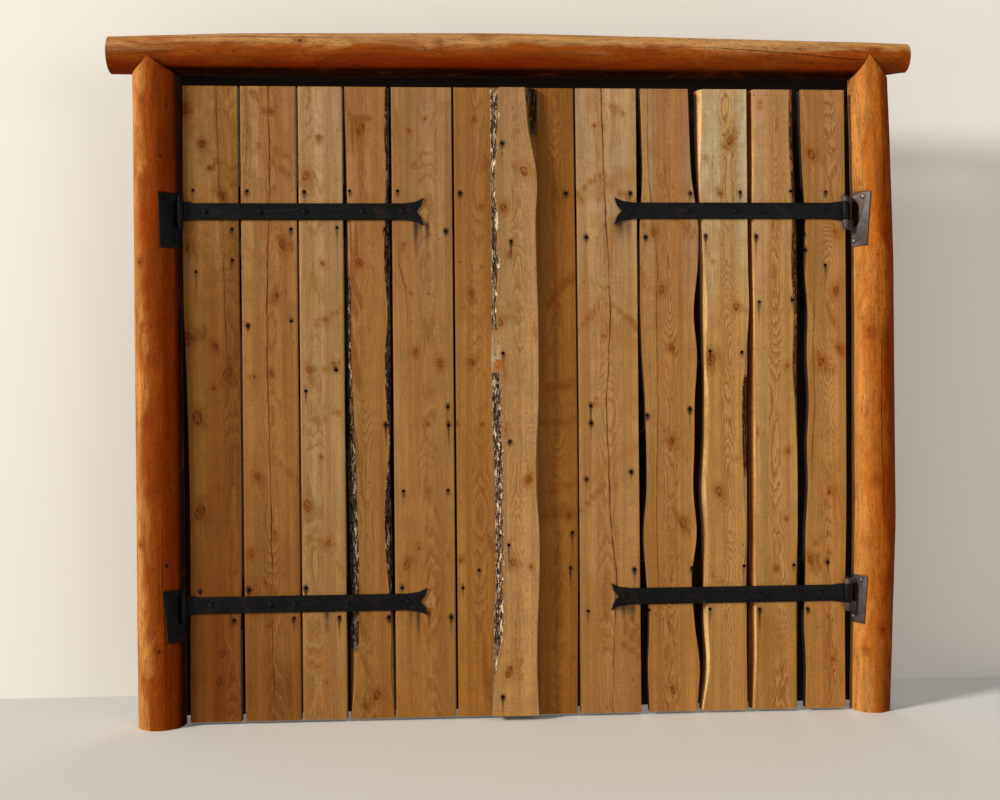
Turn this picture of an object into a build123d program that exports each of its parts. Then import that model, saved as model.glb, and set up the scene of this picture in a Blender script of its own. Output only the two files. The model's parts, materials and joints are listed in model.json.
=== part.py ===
from build123d import *
import math
import os

os.makedirs("parts", exist_ok=True)

# A pair of plank doors hung on strap hinges in a frame of three peeled logs.
# X runs along the lintel, Y into the building, Z up; the outside faces -Y.
# The origin is on the ground, midway between the ends of the lintel.

# Leaves
leaf_height = 2419.0
floor_gap = 12.0  # under both leaves
board_thickness = 38.0
edge_steps = 14  # straight runs that make up a wandering edge
thin_board_thickness = 36.0  # the board that closes under the lap board
lap_thickness = 44.0
lap_end_inset = 9.0  # the lap board is a little shorter than the leaf
meeting_x = 22.0  # line on which the two leaves meet
meeting_gap = 6.0

# Ledges and braces on the back
ledge_thickness = 38.0
ledge_inset_hinge = 22.0
ledge_inset_meeting = 25.0
ledge_width = 200.0
brace_width = 180.0

# Strap hinges
strap_width = 63.5
strap_thickness = 7.0
eye_height = 72.0  # the strap flares up to its rolled eye
eye_flare = 28.0
fishtail_span = 104.0
fishtail_length = 78.0
fishtail_notch = 27.0
pin_radius = 6.0
pin_head_height = 9.0
pin_running_fit = 0.06
pin_forward = 42.0  # pin line in front of the log axes
upper_knuckle = 20.0
lower_knuckle = 34.0
knuckle_bite = 8.0  # length of each knuckle that the plate holds
knuckle_taper = 0.72
knuckle_gap = 0.5
plate_thickness = 6.0
plate_width = 82.0
seat_half_width = 41.0  # flat cut on the log behind each plate
seat_margin = 2.0
arm_width = 10.0  # arms that hold the pin off the plate

# Bolts and screws
head_taper = 38.0
bolt_shank = 9.0  # square
bolt_head_radius = 11.0
bolt_head_height = 5.5
nut_width = 19.0
nut_thickness = 9.0
bolt_tail = 3.0
screw_shank = 7.0  # square
screw_head_radius = 11.0
screw_head_height = 6.0
screw_length = 50.0
upper_screw = (33.0, 17.0)  # from the plate's outer edge, below its top
lower_screw = (73.0, 21.0)  # from the plate's outer edge, above its foot

# Logs
log_flats = 28  # narrow flats left round a log by the drawknife
lintel_over_leaves = 45.5
lintel_radius = 84.5
saddle_clearance = 0.6
dowel_radius = 16.0
dowel_in_post = 110.0
dowel_in_lintel = 80.0
lintel_past_left_post = 171.0
lintel_past_right_post = 143.0

# Each board from the hinge side to the meeting line, or from the meeting line outwards:
# its width, the spacing to the next one and how far its edges wander inwards, as
# (share of the height, millimetres). The front of a board with wane is narrower.
left_boards = {
    "left_board_1": {
        "width": 212.0, "spacing": 9.0,
        "near": [(0, 13), (0.32, 18), (0.55, 10), (0.68, 1), (1, 5)],
        "far": [(0, 6), (0.11, 8), (0.25, 0), (1, 0)],
    },
    "left_board_2": {"width": 211.0, "spacing": 7.0},
    "left_board_3": {"width": 168.0, "spacing": 6.0},
    "left_board_4": {
        "width": 177.0, "spacing": 3.0,
        "near": [(0, 5), (0.27, 7), (0.43, 1), (1, 0)],
        "near_wane": [(0, 10), (0.06, 31), (0.24, 39), (0.4, 31), (0.6, 16), (0.73, 19), (1, 2)],
        "far": [(0, 0), (0.11, 0), (0.24, 9), (0.5, 11), (0.63, 8), (1, 8)],
        "far_wane": [(0, 2), (0.12, 19), (0.16, 8), (0.25, 29), (0.33, 32), (0.43, 12), (0.55, 27),
                     (0.64, 13), (0.73, 25), (0.78, 22), (0.82, 10), (0.9, 20), (1, 15)],
    },
    "left_board_5": {"width": 231.0, "spacing": 8.0},
    "left_board_6": {"width": 262.0, "spacing": 0.0},
}
right_boards = {
    "right_board_1": {
        "width": 201.0, "spacing": 1.0,
        "far": [(0, 7), (0.34, 0), (0.66, 2), (1, 7)],
    },
    "right_board_2": {
        "width": 241.0, "spacing": 7.0,
        "near": [(0, 4), (0.45, 5), (1, 0)],
        "far": [(0, 0), (0.5, 3), (1, 5)],
    },
    "right_board_3": {
        "width": 231.0, "spacing": -7.0,
        "near": [(0, 26), (0.07, 21), (0.13, 27), (0.2, 19), (0.27, 6), (0.34, 20), (0.42, 20),
                 (0.5, 16), (0.58, 5), (0.63, 0), (0.79, 1), (0.86, 12), (1, 4)],
        "far": [(0, 18), (0.08, 7), (0.15, 28), (0.22, 36), (0.3, 14), (0.36, 28), (0.47, 20),
                (0.51, 20), (0.56, 9), (0.65, 22), (0.7, 3), (0.73, 8), (0.77, 0), (0.87, 29), (1, 39)],
    },
    "right_board_4": {
        "width": 209.0, "spacing": -9.0,
        "near": [(0, 3), (0.05, 11), (0.08, 24), (0.12, 16), (0.27, 19), (0.34, 8), (0.4, 17),
                 (0.54, 22), (0.66, 18), (0.76, 15), (0.82, 3), (0.88, 9), (0.94, 0), (1, 0)],
        "near_wane": [(0, 13), (0.04, 23), (0.08, 45), (0.12, 36), (0.3, 41), (0.34, 32), (0.44, 43),
                      (0.55, 47), (0.58, 30), (0.62, 44), (0.71, 34), (0.76, 31), (0.82, 12),
                      (0.89, 21), (1, 27)],
        "far": [(0, 20), (0.1, 16), (0.35, 8), (0.7, 3), (1, 3)],
        "far_wane": [(0, 21), (0.16, 26), (0.23, 35), (0.3, 20), (0.37, 31), (0.41, 22), (0.45, 39),
                     (0.52, 26), (0.59, 17), (0.65, 5), (0.74, 9), (1, 11)],
    },
    "right_board_5": {
        "width": 206.0, "spacing": 2.0,
        "near": [(0, 0), (0.15, 4), (0.34, 7), (0.74, 11), (1, 12)],
        "near_wane": [(0, 18), (0.1, 30), (0.18, 27), (0.38, 32), (0.46, 27), (0.52, 34), (0.68, 27),
                      (0.79, 23), (0.89, 28), (1, 25)],
        "far": [(0, 15), (0.14, 9), (0.5, 5), (0.76, 0), (0.82, 11), (1, 20)],
        "far_wane": [(0, 23), (0.18, 24), (0.32, 14), (0.42, 15), (0.48, 24), (0.55, 17), (0.61, 28),
                     (0.65, 13), (0.71, 24), (0.76, 19), (0.84, 22), (0.94, 31), (1, 28)],
    },
    "right_board_6": {
        "width": 180.0, "spacing": 0.0,
        "near": [(0, 11), (0.09, 14), (0.17, 5), (0.26, 23), (0.29, 15), (0.32, 24), (0.42, 27),
                 (0.45, 10), (0.5, 32), (0.61, 22), (0.65, 29), (0.69, 13), (0.74, 24), (0.84, 16),
                 (0.91, 2), (0.97, 16), (1, 2)],
        "far": [(0, 11), (0.14, 11), (0.34, 2), (0.74, 0), (1, 3)],
    },
}
lap_board = {
    "width": 196.0, "over_right_leaf": 57.0,
    "near": [(0, 0), (0.07, 9), (0.13, 6), (0.17, 19), (0.25, 16), (0.33, 18), (0.5, 8), (0.77, 11),
             (1, 10)],
    "near_wane": [(0, 5), (0.06, 12), (0.1, 38), (0.14, 50), (0.19, 55), (0.24, 48), (0.3, 57),
                  (0.34, 69), (0.41, 55), (0.55, 51), (0.64, 30), (0.72, 43), (0.8, 36), (0.87, 30),
                  (0.95, 47), (1, 48)],
    "far": [(0, 11), (0.13, 10), (0.19, 8), (0.28, 2), (0.55, 0), (0.84, 5), (1, 3)],
    "far_wane": [(0, 16), (0.05, 23), (0.13, 21), (0.25, 10), (0.28, 10), (0.36, 21), (0.45, 20),
                 (0.51, 9), (0.66, 9), (0.75, 16), (0.82, 16), (0.86, 9), (0.89, 16), (0.93, 39),
                 (0.96, 53), (1, 53)],
}

# Hinges: height of the strap's middle, reach from the pin to the fishtail's tips, distances
# of the bolts from the pin, how far the ledge's middle lies above the strap's, then the way
# the plate faces (degrees from the opening towards the outside), its top and foot from the
# strap's middle, the lean of its outer edge and the notch round the eye.
hinges = {
    "left_upper": {
        "height": 1954.0, "reach": 919.0, "bolts": [92, 298, 468, 687, 836], "ledge_lift": 8.0,
        "facing": 48.5, "plate_rise": 67.0, "plate_drop": 141.0, "plate_lean": 8.0, "notch": 24.0,
    },
    "left_lower": {
        "height": 458.0, "reach": 922.0, "bolts": [100, 325, 417, 617, 849], "ledge_lift": -5.0,
        "facing": 46.0, "plate_rise": 64.0, "plate_drop": 133.0, "plate_lean": 21.0, "notch": 24.0,
    },
    "right_upper": {
        "height": 1958.0, "reach": 906.0, "bolts": [78, 316, 434, 619, 838], "ledge_lift": 0.0,
        "facing": 38.0, "plate_rise": 71.0, "plate_drop": 137.0, "plate_lean": 15.0, "notch": 32.0,
    },
    "right_lower": {
        "height": 464.0, "reach": 929.0, "bolts": [107, 318, 440, 665, 876], "ledge_lift": 25.0,
        "facing": 28.0, "plate_rise": 67.0, "plate_drop": 120.0, "plate_lean": 17.0, "notch": 22.0,
    },
}
# Each side: how far the pin lies past the leaf's edge and the log's axis past the pin, the
# head of the post, and its log as (share of the lintel's height, radius, bow away from the
# opening).
sides = {
    "left": {
        "pin_past_edge": 5.0, "axis_past_pin": 93.0,
        "shoulder_drop": 10.0, "cope_rise": 62.0, "cope_shift": 12.0,
        "log": [(0, 91, 0), (1.03, 88, 0)],
    },
    "right": {
        "pin_past_edge": -5.0, "axis_past_pin": 117.0,
        "shoulder_drop": 17.0, "cope_rise": 92.0, "cope_shift": -14.0,
        "log": [(0, 78, -15), (0.29, 83, 6), (0.7, 80, 6), (1.03, 76, -15)],
    },
}
# Lintel as (share of its length, share of its radius, rise of its axis)
lintel_sections = [(0, 0.83, -9), (0.16, 0.965, -4.5), (0.48, 1, 2), (0.94, 0.846, -7.5), (1, 0.65, 4)]

# Places that follow from the sizes
eye_radius = pin_radius + strap_thickness
leaf_front = -pin_forward + eye_radius
leaf_back = leaf_front + board_thickness
ledge_back = leaf_back + ledge_thickness
leaf_foot = floor_gap
leaf_top = floor_gap + leaf_height
lintel_axis = leaf_top + lintel_over_leaves + lintel_radius
eye_half = eye_height / 2 + knuckle_gap
left_edge_at_meeting = meeting_x - meeting_gap / 2
right_edge_at_meeting = meeting_x + meeting_gap / 2


def run_of(boards):
    return sum(b["width"] + b["spacing"] for b in boards.values())


left_hinge_edge = left_edge_at_meeting - run_of(left_boards)
right_hinge_edge = right_edge_at_meeting + run_of(right_boards)


def hinge_side(hinge):
    return hinge.split("_")[0]


def between(rows, at):
    """Straight-line values of a table of rows at one value of its first column."""
    for low, high in zip(rows, rows[1:]):
        if at <= high[0] or high is rows[-1]:
            part = (at - low[0]) / (high[0] - low[0])
            return [a + part * (b - a) for a, b in zip(low[1:], high[1:])]


def side_layout(name):
    """Pin and log axis of one side; toward is the way from the log to the opening."""
    side = sides[name]
    toward = 1 if name == "left" else -1
    edge = left_hinge_edge if name == "left" else right_hinge_edge
    pin_x = edge - toward * side["pin_past_edge"]
    return {"toward": toward, "edge": edge, "pin_x": pin_x, "log_x": pin_x - toward * side["axis_past_pin"]}


layout = {name: side_layout(name) for name in sides}


def handed(shape, name):
    """Moves a piece drawn about the pin of the left side to its own pin line."""
    if name == "right":
        shape = mirror(shape, about=Plane.YZ)
    return Pos(layout[name]["pin_x"], -pin_forward, 0) * shape


def save(node, *solids):
    shape = solids[0] if len(solids) == 1 else Compound(children=list(solids))
    export_step(shape, f"parts/{node}.step")


# Logs
def ring(centre, across, up, radius):
    """One section of a peeled log: the drawknife leaves narrow flats all round it."""
    points = []
    for i in range(log_flats):
        angle = 2 * math.pi * (i + 0.5) / log_flats
        points.append(centre + across * (radius * math.cos(angle)) + up * (radius * math.sin(angle)))
    return Wire.make_polygon(points, close=True)


def post_log(name, grow=0.0):
    place = layout[name]
    away = -place["toward"]
    rings = []
    for share, radius, bow in sides[name]["log"]:
        centre = Vector(place["log_x"] + away * bow, 0, share * lintel_axis)
        rings.append(ring(centre, Vector(1, 0, 0), Vector(0, 1, 0), radius + grow))
    return Solid.make_loft(rings, ruled=True)


lintel_left_end = layout["left"]["log_x"] - lintel_past_left_post
lintel_right_end = layout["right"]["log_x"] + lintel_past_right_post
lintel_length = lintel_right_end - lintel_left_end


def lintel_log(grow=0.0):
    rings = []
    for share, size, rise in lintel_sections:
        centre = Vector(lintel_left_end + share * lintel_length, 0, lintel_axis + rise)
        rings.append(ring(centre, Vector(0, 1, 0), Vector(0, 0, 1), size * lintel_radius + grow))
    return Solid.make_loft(rings, ruled=True)


def lintel_at(x):
    """Radius and axis height of the lintel above one point of its length."""
    size, rise = between(lintel_sections, (x - lintel_left_end) / lintel_length)
    return size * lintel_radius, lintel_axis + rise


def cope_outline(name):
    """Front view of a post's head: a pointed arch that rises on both faces of the lintel."""
    side = sides[name]
    away = -layout[name]["toward"]
    head_radius, head_bow = side["log"][-1][1:]
    x = layout[name]["log_x"] + away * head_bow
    radius, axis = lintel_at(x)
    shoulder = axis - radius - side["shoulder_drop"]
    tip_x = x + away * side["cope_shift"]
    tip = shoulder + side["cope_rise"]
    rise = (shoulder + tip) / 2
    sag = 5.0  # the arch's sides are slightly hollow
    low_x, high_x = x - head_radius - 4.0, x + head_radius + 4.0
    up_side = ThreePointArc((low_x, shoulder), ((low_x + tip_x) / 2 + sag, rise - sag), (tip_x, tip))
    down_side = ThreePointArc((tip_x, tip), ((high_x + tip_x) / 2 - sag, rise - sag), (high_x, shoulder))
    wide = 2.0 * head_radius
    rest = Polyline((high_x, shoulder), (x + wide, shoulder), (x + wide, -50.0), (x - wide, -50.0),
                    (x - wide, shoulder), (low_x, shoulder))
    return make_face([up_side, down_side, rest])


def dowel_solid(name):
    x = layout[name]["log_x"]
    radius, axis = lintel_at(x)
    foot = axis - radius - dowel_in_post
    section = RegularPolygon(dowel_radius, 8)
    return extrude(Pos(x, 0, foot) * section, amount=dowel_in_post + dowel_in_lintel)


def seat_of(hinge):
    """The flat behind a plate, seen from the pin of a left side: its plane (x to the opening,
    y up, z outwards) and the pin's place on it and off it."""
    spec = hinges[hinge]
    side = sides[hinge_side(hinge)]
    facing = math.radians(spec["facing"])
    out = Vector(math.cos(facing), -math.sin(facing), 0)
    along = Vector(math.sin(facing), math.cos(facing), 0)
    radius, bow = between(side["log"], spec["height"] / lintel_axis)
    axis = Vector(-side["axis_past_pin"] - bow, pin_forward, 0)
    depth = math.sqrt(radius**2 - seat_half_width**2)
    frame = Plane(origin=axis + out * depth, x_dir=along, z_dir=out)
    return frame, -axis.dot(along), -axis.dot(out) - depth


def domed_head(radius, height):
    """A hammered head with ten facets, on the plane z = 0."""
    return extrude(RegularPolygon(radius, 10), amount=height, taper=head_taper)


def seat_cutter(hinge):
    spec = hinges[hinge]
    low = spec["height"] - spec["plate_drop"] - seat_margin
    high = spec["height"] + spec["plate_rise"] + seat_margin
    frame, pin_beside, pin_above = seat_of(hinge)
    block = Box(4 * seat_half_width, high - low, 60.0, align=(Align.CENTER, Align.CENTER, Align.MIN))
    return handed(frame * Pos(0, (high + low) / 2, 0) * block, hinge_side(hinge))


def plate_screw(hinge, across, z):
    frame, pin_beside, pin_above = seat_of(hinge)
    shank = Pos(0, 0, plate_thickness) * Box(screw_shank, screw_shank, screw_length + plate_thickness,
                                             align=(Align.CENTER, Align.CENTER, Align.MAX))
    head = Pos(0, 0, plate_thickness) * domed_head(screw_head_radius, screw_head_height)
    return handed(frame * Pos(across - plate_width / 2, z, 0) * (shank + head), hinge_side(hinge))


def hinge_screws(hinge):
    spec = hinges[hinge]
    top = spec["height"] + spec["plate_rise"] - upper_screw[1]
    foot = spec["height"] - spec["plate_drop"] + lower_screw[1]
    return [plate_screw(hinge, upper_screw[0], top), plate_screw(hinge, lower_screw[0], foot)]


lintel = lintel_log()
lintel_clear = lintel_log(saddle_clearance)
for name in sides:
    post = post_log(name) & extrude(Plane.XZ * cope_outline(name), amount=200.0, both=True)
    post = post - lintel_clear - dowel_solid(name)
    for hinge in hinges:
        if hinge_side(hinge) == name:
            post = post - seat_cutter(hinge)
            for screw in hinge_screws(hinge):
                post = post - screw
    lintel = lintel - dowel_solid(name)
    save(f"{name}_post", post)
save("lintel", lintel)
save("lintel_dowels", *[dowel_solid(name) for name in sides])


# Boards
def wandering(rows, share):
    """Offset of an edge at a share of the height, a curve that never swings past its points."""
    slopes = [(b[1] - a[1]) / (b[0] - a[0]) for a, b in zip(rows, rows[1:])]
    leans = [slopes[0]]
    for before, after in zip(slopes, slopes[1:]):
        leans.append(2 * before * after / (before + after) if before * after > 0 else 0.0)
    leans.append(slopes[-1])
    for i in range(len(slopes)):
        if share <= rows[i + 1][0] or i == len(slopes) - 1:
            span = rows[i + 1][0] - rows[i][0]
            t = (share - rows[i][0]) / span
            start = (2 * t**3 - 3 * t**2 + 1) * rows[i][1] + (t**3 - 2 * t**2 + t) * span * leans[i]
            return start + (3 * t**2 - 2 * t**3) * rows[i + 1][1] + (t**3 - t**2) * span * leans[i + 1]


def board_outline(x0, x1, near, far, y, foot, top):
    """Outline of a board on one of its faces."""
    bends = 1 if len(near) == 2 and len(far) == 2 else edge_steps
    shares = [i / bends for i in range(bends + 1)]
    up = [(x0 + wandering(near, s), y, foot + s * (top - foot)) for s in shares]
    down = [(x1 - wandering(far, s), y, foot + s * (top - foot)) for s in reversed(shares)]
    return Wire.make_polygon(up + down, close=True)


straight = [(0, 0), (1, 0)]


def board_solid(x0, spec, front, back, foot=leaf_foot, top=leaf_top):
    x1 = x0 + spec["width"]
    near = spec.get("near", straight)
    far = spec.get("far", straight)
    behind = board_outline(x0, x1, near, far, back, foot, top)
    if "near_wane" not in spec:
        return extrude(Face(behind), amount=back - front, dir=(0, -1, 0))
    ahead = board_outline(x0, x1, spec["near_wane"], spec["far_wane"], front, foot, top)
    return Solid.make_loft([behind, ahead], ruled=True)


def bolt_axes(hinge):
    place = layout[hinge_side(hinge)]
    return [(place["pin_x"] + place["toward"] * u, hinges[hinge]["height"]) for u in hinges[hinge]["bolts"]]


def bolt_hole(x, z):
    return Pos(x, 0, z) * Box(bolt_shank, 200.0, bolt_shank)


def bored(solid, name):
    """Cuts the square bolt holes of a leaf that fall inside a piece."""
    box = solid.bounding_box()
    for hinge in hinges:
        if hinge_side(hinge) == name:
            for x, z in bolt_axes(hinge):
                if box.min.X < x < box.max.X and box.min.Z < z < box.max.Z:
                    solid = solid - bolt_hole(x, z)
    return solid


def save_leaf_boards(name, boards, start):
    x = start
    for node, spec in boards.items():
        front = leaf_front
        if node == "right_board_1":
            front = leaf_back - thin_board_thickness
        save(node, bored(board_solid(x, spec, front, leaf_back), name))
        x += spec["width"] + spec["spacing"]


save_leaf_boards("left", left_boards, left_hinge_edge)
save_leaf_boards("right", right_boards, right_edge_at_meeting)
lap_start = right_edge_at_meeting + lap_board["over_right_leaf"] - lap_board["width"]
save("lap_board", board_solid(lap_start, lap_board, leaf_front - lap_thickness, leaf_front,
                              leaf_foot + lap_end_inset, leaf_top - lap_end_inset))


# Ledges and braces
def leaf_span(name):
    if name == "left":
        return left_hinge_edge + ledge_inset_hinge, left_edge_at_meeting - ledge_inset_meeting
    return right_edge_at_meeting + ledge_inset_meeting, right_hinge_edge - ledge_inset_hinge


def back_bar(x0, x1, z0, z1):
    return Pos((x0 + x1) / 2, (leaf_back + ledge_back) / 2, (z0 + z1) / 2) * Box(
        x1 - x0, ledge_thickness, z1 - z0)


def ledge_middle(hinge):
    return hinges[hinge]["height"] + hinges[hinge]["ledge_lift"]


def brace_solid(name):
    """Runs from the hinge side under the upper ledge to the meeting side over the lower one."""
    x0, x1 = leaf_span(name)
    low = ledge_middle(f"{name}_lower") + ledge_width / 2
    high = ledge_middle(f"{name}_upper") - ledge_width / 2
    field = back_bar(x0, x1, low, high)
    hinge_x, meet_x = (x0, x1) if name == "left" else (x1, x0)
    inward = 1 if name == "left" else -1
    start = Vector(hinge_x + inward * brace_width * 0.1, 0, high)
    end = Vector(meet_x - inward * brace_width * 0.68, 0, low)
    run = end - start
    angle = math.degrees(math.atan2(run.Z, run.X))
    middle = (start + end) * 0.5
    bar = Pos(middle.X, (leaf_back + ledge_back) / 2, middle.Z) * Rot(0, -angle, 0) * Box(
        2 * run.length, ledge_thickness, brace_width)
    return field & bar


for name in sides:
    x0, x1 = leaf_span(name)
    for level in ("upper", "lower"):
        middle = ledge_middle(f"{name}_{level}")
        ledge = back_bar(x0, x1, middle - ledge_width / 2, middle + ledge_width / 2)
        save(f"{name}_{level}_ledge", bored(ledge, name))
    save(f"{name}_brace", brace_solid(name))


# Strap hinges, drawn about the pin: x runs along the strap, the strap's back is at y = eye_radius
def strap_outline(reach):
    half = strap_width / 2
    eye = eye_height / 2
    flare = fishtail_span / 2
    neck = reach - fishtail_length
    notch = reach - fishtail_notch
    lip = neck + 0.6 * fishtail_length
    bulge = half + 0.3 * (flare - half)
    cheek = reach - 0.35 * fishtail_notch
    return make_face([
        Polyline((neck, half), (2 * eye_flare, half), (eye_flare, eye), (0, eye), (0, -eye),
                 (eye_flare, -eye), (2 * eye_flare, -half), (neck, -half)),
        Polyline((neck, -half), (lip, -bulge), (reach, -flare), (cheek, -0.42 * flare), (notch, 0),
                 (cheek, 0.42 * flare), (reach, flare), (lip, bulge), (neck, half)),
    ])


def upright(radius, low, high):
    return Pos(0, 0, low) * Cylinder(radius, high - low, align=(Align.CENTER, Align.CENTER, Align.MIN))


def knuckle(low, high):
    """A forged ring with sixteen facets that thins away from the eye."""
    section = RegularPolygon(eye_radius, 16)
    lean = math.degrees(math.atan((1 - knuckle_taper) * eye_radius / abs(high - low)))
    return extrude(Pos(0, 0, low) * section, amount=high - low, taper=lean)


def strap_solid(hinge):
    spec = hinges[hinge]
    band = extrude(Plane.XZ.offset(-eye_radius) * strap_outline(spec["reach"]), amount=strap_thickness)
    eye = upright(eye_radius, -eye_height / 2, eye_height / 2)
    strap = band + eye - upright(pin_radius + pin_running_fit, -eye_height, eye_height)
    strap = handed(Pos(0, 0, spec["height"]) * strap, hinge_side(hinge))
    for x, z in bolt_axes(hinge):
        strap = strap - bolt_hole(x, z)
    return strap


def plate_outline(hinge):
    """Front view of a plate on its seat, cut away round the strap's eye."""
    spec = hinges[hinge]
    top = spec["plate_rise"]
    foot = -spec["plate_drop"]
    inner = plate_width / 2
    deep = inner - spec["notch"]
    high = eye_half + upper_knuckle - knuckle_bite
    low = -(eye_half + lower_knuckle - knuckle_bite)
    return make_face([
        Polyline((inner, low), (inner, foot), (-inner + spec["plate_lean"], foot), (-inner, top),
                 (inner, top), (inner, high), (deep + 0.3 * spec["notch"], 0.75 * high), (deep, 0.3 * high),
                 (deep, 0.7 * low), (deep + 0.25 * spec["notch"], 0.9 * low), (inner, low)),
    ])


def plate_solid(hinge):
    frame, pin_beside, pin_above = seat_of(hinge)
    leaf = extrude(frame * plate_outline(hinge), amount=plate_thickness)
    plate = leaf
    for near, far in ((eye_half, eye_half + upper_knuckle), (-eye_half, -eye_half - lower_knuckle)):
        arm = Box(arm_width, abs(far - near), pin_above, align=(Align.CENTER, Align.CENTER, Align.MIN))
        plate = plate + frame * Pos(pin_beside, (near + far) / 2, 0) * arm + knuckle(near, far)
    plate = plate - upright(pin_radius, -eye_half - lower_knuckle, eye_half + upper_knuckle)
    plate = handed(Pos(0, 0, hinges[hinge]["height"]) * plate, hinge_side(hinge))
    for screw in hinge_screws(hinge):
        plate = plate - screw
    return plate


def pin_solid(hinge):
    top = eye_half + upper_knuckle
    shank = upright(pin_radius, -eye_half - lower_knuckle, top)
    head_radius = strap_thickness - 0.3
    head = Pos(0, 0, top) * extrude(RegularPolygon(head_radius, 10), amount=pin_head_height, taper=18)
    return handed(Pos(0, 0, hinges[hinge]["height"]) * (shank + head), hinge_side(hinge))


def bolt_solid(x, z):
    """Round-headed bolt with a square shank and a square nut behind the ledge."""
    outside = leaf_front - strap_thickness
    length = ledge_back + nut_thickness + bolt_tail - outside
    head = domed_head(bolt_head_radius, bolt_head_height)
    shank = Box(bolt_shank, bolt_shank, length, align=(Align.CENTER, Align.CENTER, Align.MAX))
    nut = Pos(0, 0, outside - ledge_back) * Box(nut_width, nut_width, nut_thickness,
                                               align=(Align.CENTER, Align.CENTER, Align.MAX))
    return Pos(x, outside, z) * Rot(90, 0, 0) * (head + shank + nut)


for hinge in hinges:
    save(f"{hinge}_strap", strap_solid(hinge))
    save(f"{hinge}_hinge_plate", plate_solid(hinge))
    save(f"{hinge}_hinge_pin", pin_solid(hinge))
    save(f"{hinge}_plate_screws", *hinge_screws(hinge))
    save(f"{hinge}_strap_bolts", *[bolt_solid(x, z) for x, z in bolt_axes(hinge)])

print("leaf edges", left_hinge_edge, right_hinge_edge)
print("lintel from", round(lintel_left_end, 1), "to", round(lintel_right_end, 1))
for name in sides:
    print(name, {k: round(v, 2) for k, v in layout[name].items()})
for hinge in hinges:
    frame, pin_beside, pin_above = seat_of(hinge)
    print(hinge, "pin beside the seat's middle", round(pin_beside, 1), "and off it", round(pin_above, 1))
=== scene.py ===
import json
import math
import random

import bpy
import numpy as np
from mathutils import Matrix, Vector, noise

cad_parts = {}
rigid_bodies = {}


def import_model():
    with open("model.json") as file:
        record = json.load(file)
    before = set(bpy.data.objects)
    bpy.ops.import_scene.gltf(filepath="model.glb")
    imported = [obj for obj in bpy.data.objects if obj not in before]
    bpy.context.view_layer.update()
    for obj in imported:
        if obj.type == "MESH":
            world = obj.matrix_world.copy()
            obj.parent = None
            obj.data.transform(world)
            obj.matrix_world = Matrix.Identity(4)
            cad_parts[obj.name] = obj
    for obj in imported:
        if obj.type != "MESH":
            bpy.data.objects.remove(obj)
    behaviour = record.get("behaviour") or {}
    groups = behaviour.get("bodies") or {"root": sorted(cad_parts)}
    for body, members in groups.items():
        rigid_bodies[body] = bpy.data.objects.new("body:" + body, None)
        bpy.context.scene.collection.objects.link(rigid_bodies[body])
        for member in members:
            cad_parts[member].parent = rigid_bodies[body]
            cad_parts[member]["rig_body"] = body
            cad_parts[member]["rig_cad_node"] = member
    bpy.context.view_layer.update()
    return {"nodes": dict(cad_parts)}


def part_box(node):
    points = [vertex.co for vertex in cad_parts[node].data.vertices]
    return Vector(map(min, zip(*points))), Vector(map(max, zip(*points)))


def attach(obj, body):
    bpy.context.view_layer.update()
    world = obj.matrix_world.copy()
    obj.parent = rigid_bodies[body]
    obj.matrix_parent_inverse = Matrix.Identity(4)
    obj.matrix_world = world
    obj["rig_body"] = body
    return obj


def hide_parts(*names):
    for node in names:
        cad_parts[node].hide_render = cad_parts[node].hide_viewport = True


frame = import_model()
mm = 0.001
hair = 0.0001  # metres, less than any shape here
print("frame loaded:", len(frame["nodes"]), "nodes")


# Modelling helpers
def pick(*pieces):
    if bpy.context.object and bpy.context.object.mode != "OBJECT":
        bpy.ops.object.mode_set(mode="OBJECT")
    bpy.ops.object.select_all(action="DESELECT")
    for piece in pieces:
        piece.select_set(True)
    bpy.context.view_layer.objects.active = pieces[0]


def settle(piece, name):
    pick(piece)
    bpy.ops.object.transform_apply(location=True, rotation=True, scale=True)
    piece.name = name
    piece.data.name = name
    return piece


def modify(piece, kind, **settings):
    pick(piece)
    bpy.ops.object.modifier_add(type=kind)
    modifier = piece.modifiers[-1]
    for name, value in settings.items():
        setattr(modifier, name, value)
    bpy.ops.object.modifier_apply(modifier=modifier.name)


def bevel(piece, width, **limits):
    modify(piece, "BEVEL", width=width * mm, segments=2, **limits)


def dress(piece, finish, degrees=None):
    # gives a piece its only finish, and smooths the edges that turn by less than these degrees
    piece.data.materials.clear()
    piece.data.materials.append(finish)
    if degrees:
        pick(piece)
        bpy.ops.object.shade_smooth_by_angle(angle=math.radians(degrees))


def cutEdges(piece, chosen, cuts):
    # splits the edges that chosen() names, given their two ends
    pick(piece)
    bpy.ops.object.mode_set(mode="EDIT")
    bpy.ops.mesh.select_mode(type="EDGE")
    bpy.ops.mesh.select_all(action="DESELECT")
    bpy.ops.object.mode_set(mode="OBJECT")
    points = piece.data.vertices
    for edge in piece.data.edges:
        a, b = (points[i].co for i in edge.vertices)
        edge.select = chosen(a, b)
    bpy.ops.object.mode_set(mode="EDIT")
    bpy.ops.mesh.subdivide(number_cuts=cuts)
    bpy.ops.object.mode_set(mode="OBJECT")


def getPoints(piece):
    co = np.empty(len(piece.data.vertices) * 3)
    piece.data.vertices.foreach_get("co", co)
    return co.reshape(-1, 3)


def setPoints(piece, co):
    piece.data.vertices.foreach_set("co", co.astype(np.float32).ravel())
    piece.data.update()


def setField(piece, name, columns):
    attribute = piece.data.attributes.new(name, "FLOAT_VECTOR", "POINT")
    attribute.data.foreach_set("vector", np.stack(columns, 1).astype(np.float32).ravel())


def copied(piece):
    made = piece.copy()
    made.data = piece.data.copy()
    bpy.context.scene.collection.objects.link(made)
    return made


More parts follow.
